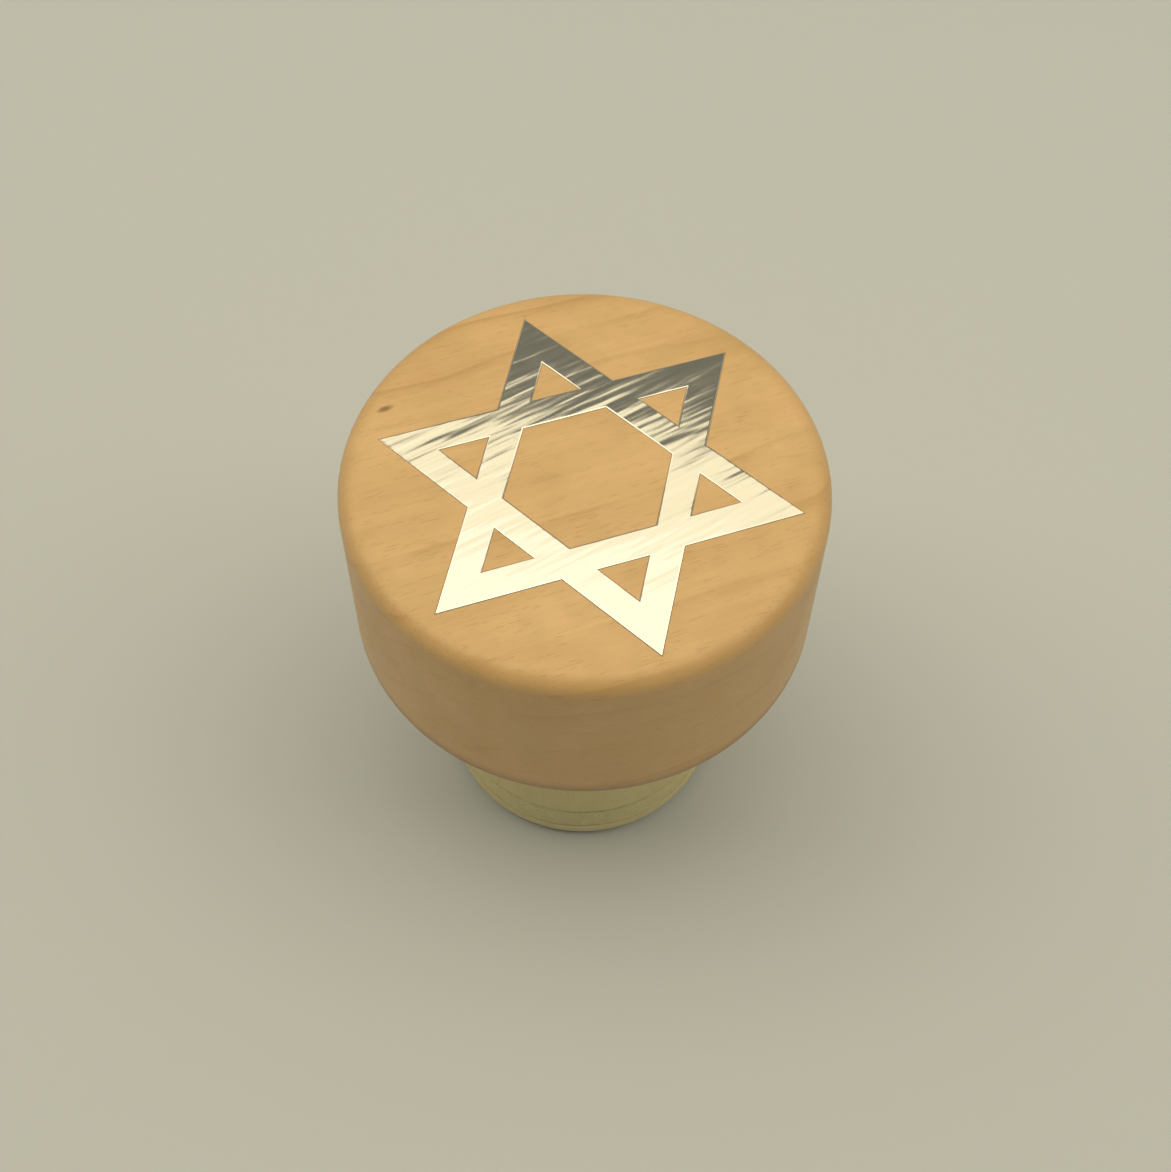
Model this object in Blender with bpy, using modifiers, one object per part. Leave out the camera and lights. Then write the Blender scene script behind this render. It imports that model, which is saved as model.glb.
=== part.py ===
"""Wooden rubber stamp with a screw-on knob handle, modelled as its separate pieces.

Units are metres, +Z is up, and the printing face of the die rests on Z = 0.
Every piece is turned or laid out about the Z axis. The handle unscrews about it,
and the die travels along it as the foam cushion is pressed.
"""

import math

import bmesh
import bpy

MM = 0.001

# Clearances
TOUCH_GAP = 0.3 * MM  # between pieces that touch on the real stamp
FILM_GAP = 0.1 * MM  # either side of a thin adhesive film

# Handle head
HEAD_RADIUS = 15.0 * MM  # where the side meets the rounded top edge
HEAD_HEIGHT = 13.2 * MM
HEAD_FLARE = 0.25 * MM  # how much wider the head is at its bottom
HEAD_TOP_ROUND = 1.5 * MM
HEAD_BOTTOM_ROUND = 0.6 * MM

# Star in foil on top of the head
STAR_EDGE_MARGIN = 0.4 * MM  # from the tips to the rounded edge
STAR_BAND = 1.93 * MM  # width of each bar
STAR_OFFSET = (0.2 * MM, -0.4 * MM)  # pressed slightly off centre
STAR_TURN = math.radians(48.9)  # direction of the first tip, from +X
FOIL_THICKNESS = 0.15 * MM

# Screw joint between head and stem
STUD_RADIUS = 3.0 * MM
STUD_IN_STEM = 10.0 * MM
STUD_POINT = 3.0 * MM  # length of its tapered wood-screw point
STUD_POINT_RADIUS = 0.8 * MM
STUD_CHAMFER = 0.5 * MM
THREAD_ENGAGEMENT = 7.2 * MM
INSERT_WALL = 1.2 * MM
INSERT_LENGTH = 8.0 * MM
INSERT_SLOT_WIDTH = 1.2 * MM  # for the driver that turned it in
INSERT_SLOT_DEPTH = 1.2 * MM
INSERT_RIB_COUNT = 8
INSERT_RIB_DEPTH = 0.35 * MM
WASHER_THICKNESS = 0.8 * MM
WASHER_INSET = 1.0 * MM  # how far its rim stays inside the stem's side
WASHER_SEAT_DEPTH = 0.8 * MM  # counterbore under the head

# Stem
STEM_RADIUS = 10.0 * MM
STEM_LENGTH = 14.3 * MM
STEM_EDGE = 0.3 * MM  # chamfer on both ends

# Cushion, adhesive films and die
FILM_THICKNESS = 0.2 * MM
FILM_INSET = 0.25 * MM
CUSHION_THICKNESS = 2.0 * MM
CUSHION_INSET = 0.1 * MM
DIE_BACKING = 0.8 * MM
DIE_RELIEF = 0.6 * MM
DIE_INSET = 0.05 * MM
DIE_STAR_MARGIN = 0.8 * MM
DIE_STAR_BAND = 1.3 * MM
RELIEF_ROOT = 0.2 * MM  # how deep the raised star is rooted in its backing

# Fineness of the round pieces
HEAD_SEGMENTS = 72
STEM_SEGMENTS = 64
SCREW_SEGMENTS = 32
TOP_ROUND_STEPS = 7
BOTTOM_ROUND_STEPS = 4

# Levels, from the printing face up
DIE_TOP = DIE_RELIEF + DIE_BACKING
DIE_FILM_BOTTOM = DIE_TOP + FILM_GAP
CUSHION_BOTTOM = DIE_FILM_BOTTOM + FILM_THICKNESS + FILM_GAP
CUSHION_FILM_BOTTOM = CUSHION_BOTTOM + CUSHION_THICKNESS + FILM_GAP
STEM_BOTTOM = CUSHION_FILM_BOTTOM + FILM_THICKNESS + FILM_GAP
STEM_TOP = STEM_BOTTOM + STEM_LENGTH
WASHER_BOTTOM = STEM_TOP + TOUCH_GAP
WASHER_SEAT = WASHER_BOTTOM + WASHER_THICKNESS + TOUCH_GAP
HEAD_BOTTOM = WASHER_SEAT - WASHER_SEAT_DEPTH
HEAD_TOP = HEAD_BOTTOM + HEAD_HEIGHT
STUD_BOTTOM = STEM_TOP - STUD_IN_STEM
STUD_TOP = WASHER_SEAT + THREAD_ENGAGEMENT

# Radii that follow from the ones above
SCREW_HOLE_RADIUS = STUD_RADIUS + TOUCH_GAP
INSERT_RADIUS = SCREW_HOLE_RADIUS + INSERT_WALL
INSERT_HOLE_RADIUS = INSERT_RADIUS + TOUCH_GAP
WASHER_RADIUS = STEM_RADIUS - WASHER_INSET
DIE_RADIUS = STEM_RADIUS - DIE_INSET
STAR_TIP_RADIUS = HEAD_RADIUS - HEAD_TOP_ROUND - STAR_EDGE_MARGIN
DIE_STAR_TIP_RADIUS = DIE_RADIUS - DIE_STAR_MARGIN


def clear_scene():
    """Remove every object that the scene starts with."""
    for leftover in list(bpy.data.objects):
        bpy.data.objects.remove(leftover, do_unlink=True)


def new_collection(name):
    """Return a new collection linked into the scene."""
    collection = bpy.data.collections.new(name)
    bpy.context.scene.collection.children.link(collection)
    return collection


def principled(name, color, roughness, metallic=0.0):
    """Return a material with one Principled BSDF."""
    material = bpy.data.materials.new(name)
    material.use_nodes = True
    shader = material.node_tree.nodes["Principled BSDF"]
    shader.inputs["Base Color"].default_value = (*color, 1.0)
    shader.inputs["Roughness"].default_value = roughness
    shader.inputs["Metallic"].default_value = metallic
    return material


def arc(center, radius, start, end, steps):
    """Return points (radius, height) on an arc, from one angle to the other in degrees."""
    points = []
    for step in range(steps + 1):
        angle = math.radians(start + (end - start) * step / steps)
        x = center[0] + radius * math.cos(angle)
        z = center[1] + radius * math.sin(angle)
        points.append((x, z))
    return points


def turned(name, profile, segments, hollow=False):
    """Return an object turned about Z from (radius, height) points.

    The profile runs down the outer side. A hollow one is a loop that closes
    on its first point, and a solid one starts and ends on the axis.
    """
    points = [(radius, 0.0, height) for radius, height in profile]
    edges = [(i, i + 1) for i in range(len(points) - 1)]
    if hollow:
        edges.append((len(points) - 1, 0))
    mesh = bpy.data.meshes.new(name)
    mesh.from_pydata(points, edges, [])
    piece = bpy.data.objects.new(name, mesh)
    screw = piece.modifiers.new("turn", "SCREW")
    screw.axis = "Z"
    screw.steps = segments
    screw.render_steps = segments
    screw.use_merge_vertices = True
    screw.merge_threshold = 0.01 * MM
    screw.use_smooth_shade = True
    return piece


def disc(name, radius, thickness, segments):
    """Return a plain round sheet that stands on its own origin."""
    mesh = bpy.data.meshes.new(name)
    sheet = bmesh.new()
    bmesh.ops.create_cone(
        sheet,
        cap_ends=True,
        segments=segments,
        radius1=radius,
        radius2=radius,
        depth=thickness,
    )
    bmesh.ops.translate(sheet, verts=sheet.verts, vec=(0.0, 0.0, thickness / 2))
    sheet.to_mesh(mesh)
    sheet.free()
    mesh.shade_smooth()
    mesh.set_sharp_from_angle(angle=math.radians(40))
    return bpy.data.objects.new(name, mesh)


def polar(radius, angle, offset):
    """Return the flat point at a radius and angle about an offset centre."""
    return (offset[0] + radius * math.cos(angle), offset[1] + radius * math.sin(angle))


def hexagram_loops(tip_radius, band, turn, offset):
    """Return the outlines of two overlapping triangle frames.

    The first loop is the outer outline. The others are the six small
    triangles inside the points, and the hexagon in the middle.
    """
    side_distance = tip_radius / 2
    notch_radius = side_distance / math.cos(math.radians(30))
    hexagon_radius = (side_distance - band) / math.cos(math.radians(30))
    hole_tip_radius = tip_radius - 2 * band
    hole_half_base = (hole_tip_radius - side_distance) * math.tan(math.radians(30))
    hole_base_radius = math.hypot(side_distance, hole_half_base)
    hole_base_angle = math.atan2(hole_half_base, side_distance)
    outline = []
    hexagon = []
    holes = []
    for point in range(6):
        tip = turn + math.radians(60 * point)
        notch = tip + math.radians(30)
        outline.append(polar(tip_radius, tip, offset))
        outline.append(polar(notch_radius, notch, offset))
        hexagon.append(polar(hexagon_radius, notch, offset))
        holes.append(
            [
                polar(hole_tip_radius, tip, offset),
                polar(hole_base_radius, tip + hole_base_angle, offset),
                polar(hole_base_radius, tip - hole_base_angle, offset),
            ]
        )
    return [outline, hexagon, *holes]


def star_plate(name, loops, thickness):
    """Return a flat star of some thickness that stands on its own origin."""
    curve = bpy.data.curves.new(name, "CURVE")
    curve.dimensions = "2D"
    curve.fill_mode = "BOTH"
    curve.extrude = thickness / 2
    for loop in loops:
        spline = curve.splines.new("POLY")
        spline.points.add(len(loop) - 1)
        for point, (x, y) in zip(spline.points, loop):
            point.co = (x, y, 0.0, 1.0)
        spline.use_cyclic_u = True
    outline = bpy.data.objects.new(name + "_outline", curve)
    bpy.context.scene.collection.objects.link(outline)
    graph = bpy.context.evaluated_depsgraph_get()
    mesh = bpy.data.meshes.new_from_object(outline.evaluated_get(graph))
    bpy.data.objects.remove(outline, do_unlink=True)
    plate = bmesh.new()
    plate.from_mesh(mesh)
    bmesh.ops.remove_doubles(plate, verts=plate.verts, dist=0.001 * MM)
    bmesh.ops.translate(plate, verts=plate.verts, vec=(0.0, 0.0, thickness / 2))
    bmesh.ops.recalc_face_normals(plate, faces=plate.faces)
    plate.to_mesh(mesh)
    plate.free()
    mesh.name = name
    return bpy.data.objects.new(name, mesh)


def cut(piece, cutter, cutters, operation="DIFFERENCE"):
    """Cut a piece with a hidden cutter, or join the two."""
    cutters.objects.link(cutter)
    cutter.parent = piece
    cutter.hide_render = True
    cutter.display_type = "WIRE"
    boolean = piece.modifiers.new(cutter.name, "BOOLEAN")
    boolean.operation = operation
    boolean.solver = "EXACT"
    boolean.object = cutter


def make_handle_head(cutters):
    """Return the wooden head, with its washer seat, insert hole and star recess."""
    seat_radius = WASHER_RADIUS + TOUCH_GAP
    seat_height = WASHER_SEAT_DEPTH
    hole_top = seat_height + max(INSERT_LENGTH, THREAD_ENGAGEMENT) + TOUCH_GAP
    foot_radius = HEAD_RADIUS + HEAD_FLARE
    top_round_center = (HEAD_RADIUS - HEAD_TOP_ROUND, HEAD_HEIGHT - HEAD_TOP_ROUND)
    bottom_round_center = (foot_radius - HEAD_BOTTOM_ROUND, HEAD_BOTTOM_ROUND)
    profile = [
        (0.0, HEAD_HEIGHT),
        *arc(top_round_center, HEAD_TOP_ROUND, 90, 0, TOP_ROUND_STEPS),
        *arc(bottom_round_center, HEAD_BOTTOM_ROUND, 0, -90, BOTTOM_ROUND_STEPS),
        (seat_radius, 0.0),
        (seat_radius, seat_height),
        (INSERT_HOLE_RADIUS, seat_height),
        (INSERT_HOLE_RADIUS, hole_top),
        (0.0, hole_top),
    ]
    head = turned("handle_head", profile, HEAD_SEGMENTS)
    recess_depth = FOIL_THICKNESS + TOUCH_GAP
    loops = hexagram_loops(
        STAR_TIP_RADIUS + 2 * TOUCH_GAP, STAR_BAND + 2 * TOUCH_GAP, STAR_TURN, STAR_OFFSET
    )
    recess = star_plate("star_recess", loops, 2 * recess_depth)
    recess.location.z = HEAD_HEIGHT - recess_depth
    cut(head, recess, cutters)
    return head


def make_star_foil():
    """Return the foil star that lies in the head's recess."""
    loops = hexagram_loops(STAR_TIP_RADIUS, STAR_BAND, STAR_TURN, STAR_OFFSET)
    return star_plate("star_foil", loops, FOIL_THICKNESS)


def make_threaded_insert(cutters):
    """Return the brass insert, with ribs that grip the wood."""
    root_radius = INSERT_RADIUS - INSERT_RIB_DEPTH
    profile = [
        (SCREW_HOLE_RADIUS, INSERT_LENGTH),
        (root_radius, INSERT_LENGTH),
    ]
    pitch = INSERT_LENGTH / INSERT_RIB_COUNT
    for rib in range(INSERT_RIB_COUNT):
        top = INSERT_LENGTH - rib * pitch
        profile.append((INSERT_RADIUS, top - pitch / 4))
        profile.append((INSERT_RADIUS, top - pitch / 2))
        profile.append((root_radius, top - pitch * 3 / 4))
    profile.append((root_radius, 0.0))
    profile.append((SCREW_HOLE_RADIUS, 0.0))
    insert = turned("threaded_insert", profile, SCREW_SEGMENTS, hollow=True)
    slot_mesh = bpy.data.meshes.new("driver_slot")
    slot = bmesh.new()
    bmesh.ops.create_cube(slot, size=1.0)
    slot_size = (3 * INSERT_RADIUS, INSERT_SLOT_WIDTH, 2 * INSERT_SLOT_DEPTH)
    bmesh.ops.scale(slot, verts=slot.verts, vec=slot_size)
    slot.to_mesh(slot_mesh)
    slot.free()
    cut(insert, bpy.data.objects.new("driver_slot", slot_mesh), cutters)
    return insert


def make_friction_washer():
    """Return the fibre washer that sits under the head."""
    profile = [
        (WASHER_RADIUS, WASHER_THICKNESS),
        (WASHER_RADIUS, 0.0),
        (SCREW_HOLE_RADIUS, 0.0),
        (SCREW_HOLE_RADIUS, WASHER_THICKNESS),
    ]
    return turned("friction_washer", profile, STEM_SEGMENTS, hollow=True)


def make_hanger_stud():
    """Return the steel stud, pointed at the end that screws into the stem."""
    length = STUD_TOP - STUD_BOTTOM
    profile = [
        (0.0, length),
        (STUD_RADIUS - STUD_CHAMFER, length),
        (STUD_RADIUS, length - STUD_CHAMFER),
        (STUD_RADIUS, STUD_POINT),
        (STUD_POINT_RADIUS, 0.0),
        (0.0, 0.0),
    ]
    return turned("hanger_stud", profile, SCREW_SEGMENTS)


def make_stem():
    """Return the pale wooden stem, with its drilled hole for the stud."""
    hole_bottom = STEM_LENGTH - STUD_IN_STEM - TOUCH_GAP
    profile = [
        (0.0, hole_bottom),
        (STUD_POINT_RADIUS + TOUCH_GAP, hole_bottom),
        (SCREW_HOLE_RADIUS, hole_bottom + STUD_POINT),
        (SCREW_HOLE_RADIUS, STEM_LENGTH),
        (STEM_RADIUS - STEM_EDGE, STEM_LENGTH),
        (STEM_RADIUS, STEM_LENGTH - STEM_EDGE),
        (STEM_RADIUS, STEM_EDGE),
        (STEM_RADIUS - STEM_EDGE, 0.0),
        (0.0, 0.0),
    ]
    return turned("stem", profile, STEM_SEGMENTS)


def make_rubber_die(cutters):
    """Return the moulded die: a round backing with the star raised under it."""
    die = disc("rubber_die", DIE_RADIUS, DIE_BACKING, STEM_SEGMENTS)
    loops = hexagram_loops(DIE_STAR_TIP_RADIUS, DIE_STAR_BAND, STAR_TURN, (0.0, 0.0))
    relief = star_plate("die_relief", loops, DIE_RELIEF + RELIEF_ROOT)
    relief.location.z = -DIE_RELIEF
    cut(die, relief, cutters, "UNION")
    return die


def moving_base(name, level, parent, collection):
    """Return an empty on the stamp's axis that carries the pieces of one body."""
    base = bpy.data.objects.new(name, None)
    base.empty_display_size = HEAD_RADIUS
    collection.objects.link(base)
    base.parent = parent
    base.location.z = level
    return base


def put(piece, base, height, material, collection):
    """Place a piece on its base, at a height above it, and dress it."""
    collection.objects.link(piece)
    piece.parent = base
    piece.location.z = height
    piece.data.materials.append(material)


def main():
    """Build the stamp."""
    clear_scene()
    stamp = new_collection("rubber_stamp")
    cutters = new_collection("rubber_stamp_cutters")
    stem_base = moving_base("stem_base", STEM_BOTTOM, None, stamp)
    washer_base = moving_base("washer_base", STEM_TOP - STEM_BOTTOM, stem_base, stamp)
    head_base = moving_base("head_base", HEAD_BOTTOM - STEM_TOP, washer_base, stamp)
    die_base = moving_base("die_base", -STEM_BOTTOM, stem_base, stamp)

    honey_wood = principled("honey_wood", (0.62, 0.35, 0.13), 0.35)
    silver_foil = principled("silver_foil", (0.88, 0.86, 0.78), 0.12, 1.0)
    brass = principled("brass", (0.75, 0.55, 0.22), 0.3, 1.0)
    fibre = principled("vulcanised_fibre", (0.16, 0.07, 0.04), 0.7)
    zinc_steel = principled("zinc_steel", (0.62, 0.62, 0.6), 0.3, 1.0)
    pale_wood = principled("pale_wood", (0.66, 0.52, 0.32), 0.55)
    adhesive = principled("adhesive_film", (0.72, 0.66, 0.5), 0.4)
    foam = principled("cushion_foam", (0.66, 0.58, 0.42), 0.9)
    rubber = principled("die_rubber", (0.42, 0.2, 0.13), 0.6)

    head = make_handle_head(cutters)
    put(head, head_base, 0.0, honey_wood, stamp)
    put(make_star_foil(), head_base, HEAD_HEIGHT - FOIL_THICKNESS, silver_foil, stamp)
    insert = make_threaded_insert(cutters)
    put(insert, head_base, WASHER_SEAT_DEPTH, brass, stamp)

    put(make_friction_washer(), washer_base, TOUCH_GAP, fibre, stamp)

    put(make_hanger_stud(), stem_base, STUD_BOTTOM - STEM_BOTTOM, zinc_steel, stamp)
    put(make_stem(), stem_base, 0.0, pale_wood, stamp)
    cushion = disc("foam_cushion", STEM_RADIUS - CUSHION_INSET, CUSHION_THICKNESS, STEM_SEGMENTS)
    put(cushion, stem_base, CUSHION_BOTTOM - STEM_BOTTOM, foam, stamp)
    film_radius = STEM_RADIUS - FILM_INSET
    film = disc("cushion_adhesive", film_radius, FILM_THICKNESS, STEM_SEGMENTS)
    put(film, stem_base, CUSHION_FILM_BOTTOM - STEM_BOTTOM, adhesive, stamp)

    film = disc("die_adhesive", film_radius, FILM_THICKNESS, STEM_SEGMENTS)
    put(film, die_base, DIE_FILM_BOTTOM, adhesive, stamp)
    put(make_rubber_die(cutters), die_base, DIE_RELIEF, rubber, stamp)


main()
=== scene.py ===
"""Looks of a wooden rubber stamp with a screw-on knob handle.

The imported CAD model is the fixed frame. Each class below makes the pieces of one
sub-assembly in that frame, in metres with +Z up, and dresses them. The stamp stands
on its printing face, and its turning axis is the Z axis. Materials lay out their
patterns in millimetres.
"""

import logging
import math
from dataclasses import dataclass, replace
from enum import Enum

import bmesh
import bpy
from mathutils import Euler, Matrix, Vector, noise
from mathutils.geometry import tessellate_polygon


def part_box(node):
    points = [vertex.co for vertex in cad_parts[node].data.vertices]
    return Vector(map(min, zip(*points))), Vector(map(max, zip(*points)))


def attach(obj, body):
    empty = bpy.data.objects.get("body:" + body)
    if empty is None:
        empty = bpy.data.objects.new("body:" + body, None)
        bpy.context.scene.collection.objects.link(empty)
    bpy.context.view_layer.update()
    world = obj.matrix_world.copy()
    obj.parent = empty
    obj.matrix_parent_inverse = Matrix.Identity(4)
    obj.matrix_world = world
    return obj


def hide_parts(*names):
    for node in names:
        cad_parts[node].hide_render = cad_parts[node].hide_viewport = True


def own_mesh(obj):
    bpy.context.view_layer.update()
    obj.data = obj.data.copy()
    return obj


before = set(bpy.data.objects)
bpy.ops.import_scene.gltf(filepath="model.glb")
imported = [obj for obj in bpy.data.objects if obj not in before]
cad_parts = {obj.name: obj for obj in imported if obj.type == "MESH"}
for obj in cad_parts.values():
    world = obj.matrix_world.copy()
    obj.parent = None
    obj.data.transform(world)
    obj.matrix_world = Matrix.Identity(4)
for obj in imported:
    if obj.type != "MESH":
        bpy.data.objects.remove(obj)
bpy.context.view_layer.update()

LOG = logging.getLogger("rubber_stamp")
MM = 0.001
HAIRLINE = 0.02 * MM  # what is left between two glued or seated pieces
MERGE_REACH = 0.0005 * MM  # vertices nearer than this are one
SHARP_ANGLE = 34.0  # edges that turn by more degrees than this stay sharp

Point2 = tuple[float, float]
Triple = tuple[float, float, float]
Color = Triple
Socket = bpy.types.NodeSocket
Vertex = bmesh.types.BMVert


# ---------------------------------------------------------------- node trees


class Tree:
    """Adds nodes to a shader or geometry tree and wires them."""

    def __init__(self, tree: bpy.types.NodeTree) -> None:
        """Keep the tree that the nodes go into."""
        self.tree = tree

    def node(self, kind: str, **settings: object) -> bpy.types.Node:
        """Add a node.

        Args:
            kind: the node's type.
            settings: its properties.

        Returns:
            The new node.
        """
        node = self.tree.nodes.new(kind)
        for name, value in settings.items():
            setattr(node, name, value)
        return node

    def feed(self, socket: Socket, value: object) -> None:
        """Link a socket to an output, or set it to a plain value.

        Args:
            socket: the input to feed.
            value: an output socket, a number, a vector or a colour.
        """
        if isinstance(value, bpy.types.NodeSocket):
            self.tree.links.new(value, socket)
        elif socket.type == "RGBA" and len(value) == 3:
            socket.default_value = (*value, 1.0)
        else:
            socket.default_value = value

    def feed_all(self, node: bpy.types.Node, values: dict[str, object]) -> bpy.types.Node:
        """Feed a node's inputs by name.

        Args:
            node: the node.
            values: what each named input takes.

        Returns:
            The same node.
        """
        for name, value in values.items():
            self.feed(node.inputs[name], value)
        return node

    def math(self, operation: str, *values: object, clamp: bool = False) -> Socket:
        """Add a Math node.

        Args:
            operation: the sum that it does.
            values: its inputs, in order.
            clamp: whether the result is kept between 0 and 1.

        Returns:
            Its output.
        """
        node = self.node("ShaderNodeMath", operation=operation, use_clamp=clamp)
        for socket, value in zip(node.inputs, values):
            self.feed(socket, value)
        return node.outputs[0]

    def plus(self, first: object, second: object, clamp: bool = False) -> Socket:
        """Return the sum of two values, kept between 0 and 1 if clamped."""
        return self.math("ADD", first, second, clamp=clamp)

    def minus(self, first: object, second: object) -> Socket:
        """Return the first value less the second."""
        return self.math("SUBTRACT", first, second)

    def times(self, first: object, second: object) -> Socket:
        """Return the product of two values."""
        return self.math("MULTIPLY", first, second)

    def over(self, first: object, second: object) -> Socket:
        """Return the first value divided by the second."""
        return self.math("DIVIDE", first, second)

    def apart(self, first: object, second: object) -> Socket:
        """Return how far apart two values are."""
        return self.math("ABSOLUTE", self.minus(first, second))

    def length(self, x: object, y: object) -> Socket:
        """Return the length of the flat vector that two values make."""
        squares = self.plus(self.math("POWER", x, 2.0), self.math("POWER", y, 2.0))
        return self.math("SQRT", squares)

    def vector(self, operation: str, *values: object) -> Socket:
        """Add a Vector Math node.

        Args:
            operation: what it does.
            values: its inputs, in order.

        Returns:
            Its vector output.
        """
        node = self.node("ShaderNodeVectorMath", operation=operation)
        for socket, value in zip(node.inputs, values):
            self.feed(socket, value)
        return node.outputs[0]

    def split(self, vector: Socket) -> list[Socket]:
        """Take a vector apart.

        Args:
            vector: the vector.

        Returns:
            Its X, Y and Z.
        """
        node = self.node("ShaderNodeSeparateXYZ")
        self.feed(node.inputs[0], vector)
        return list(node.outputs)

    def join(self, x: object = 0.0, y: object = 0.0, z: object = 0.0) -> Socket:
        """Make a vector.

        Args:
            x: its X.
            y: its Y.
            z: its Z.

        Returns:
            The vector.
        """
        node = self.node("ShaderNodeCombineXYZ")
        for socket, value in zip(node.inputs, (x, y, z)):
            self.feed(socket, value)
        return node.outputs[0]

    def mix(self, share: object, first: object, second: object) -> Socket:
        """Mix two colours.

        Args:
            share: how much of the second there is, from 0 to 1.
            first: the first colour.
            second: the second colour.

        Returns:
            The mixed colour.
        """
        node = self.node("ShaderNodeMix", data_type="RGBA")
        color_inputs = [socket for socket in node.inputs if socket.type == "RGBA"]
        for socket, value in zip((node.inputs["Factor"], *color_inputs), (share, first, second)):
            self.feed(socket, value)
        return next(socket for socket in node.outputs if socket.type == "RGBA")

    def ramp(self, value: object, low: object, high: object) -> Socket:
        """Add a smooth step.

        Args:
            value: what is compared with the two ends.
            low: where the step is 0.
            high: where the step is 1.

        Returns:
            The step, from 0 to 1.
        """
        node = self.node("ShaderNodeMapRange", interpolation_type="SMOOTHSTEP")
        for socket, number in zip(node.inputs, (value, low, high, 0.0, 1.0)):
            self.feed(socket, number)
        return node.outputs[0]

    def noise(
        self, vector: object, scale: object, detail: float = 3.0, rough: float = 0.55
    ) -> Socket:
        """Add a noise.

        Args:
            vector: where it is read.
            scale: how many features fit one unit.
            detail: its octaves.
            rough: the share of the finer octaves.

        Returns:
            The noise's value, between about 0 and 1.
        """
        values = {"Vector": vector, "Scale": scale, "Detail": detail, "Roughness": rough}
        return self.feed_all(self.node("ShaderNodeTexNoise"), values).outputs[0]


@dataclass(frozen=True)
class Pattern:
    """A noise laid out in millimetres: its features per millimetre along X, Y and Z."""

    per_mm: Triple
    detail: float = 3.0
    rough: float = 0.55

    def read(self, tree: Tree, place: Socket) -> Socket:
        """Return the noise's value at a place."""
        return tree.noise(tree.vector("MULTIPLY", place, self.per_mm), 1.0, self.detail, self.rough)


def new_group(
    name: str, kind: str, inputs: dict[str, object], outputs: dict[str, object]
) -> tuple[Tree, dict[str, Socket], bpy.types.Node]:
    """Start a node group with named sockets.

    Args:
        name: the group's name.
        kind: "ShaderNodeTree" or "GeometryNodeTree".
        inputs: the default value of each input, or its socket type where it has none.
        outputs: the socket type of each output.

    Returns:
        The tree, its inputs by name, and its output node.
    """
    types = {float: "NodeSocketFloat", int: "NodeSocketInt", tuple: "NodeSocketColor"}
    group = bpy.data.node_groups.new(name, kind)
    for label, value in inputs.items():
        plain = isinstance(value, str)
        socket_type = value if plain else types[type(value)]
        socket = group.interface.new_socket(label, in_out="INPUT", socket_type=socket_type)
        if not plain:
            socket.default_value = (*value, 1.0) if isinstance(value, tuple) else value
    for label, socket_type in outputs.items():
        group.interface.new_socket(label, in_out="OUTPUT", socket_type=socket_type)
    tree = Tree(group)
    entry = tree.node("NodeGroupInput")
    return tree, {label: entry.outputs[label] for label in inputs}, tree.node("NodeGroupOutput")


# ---------------------------------------------------- effects shared by finishes


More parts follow.
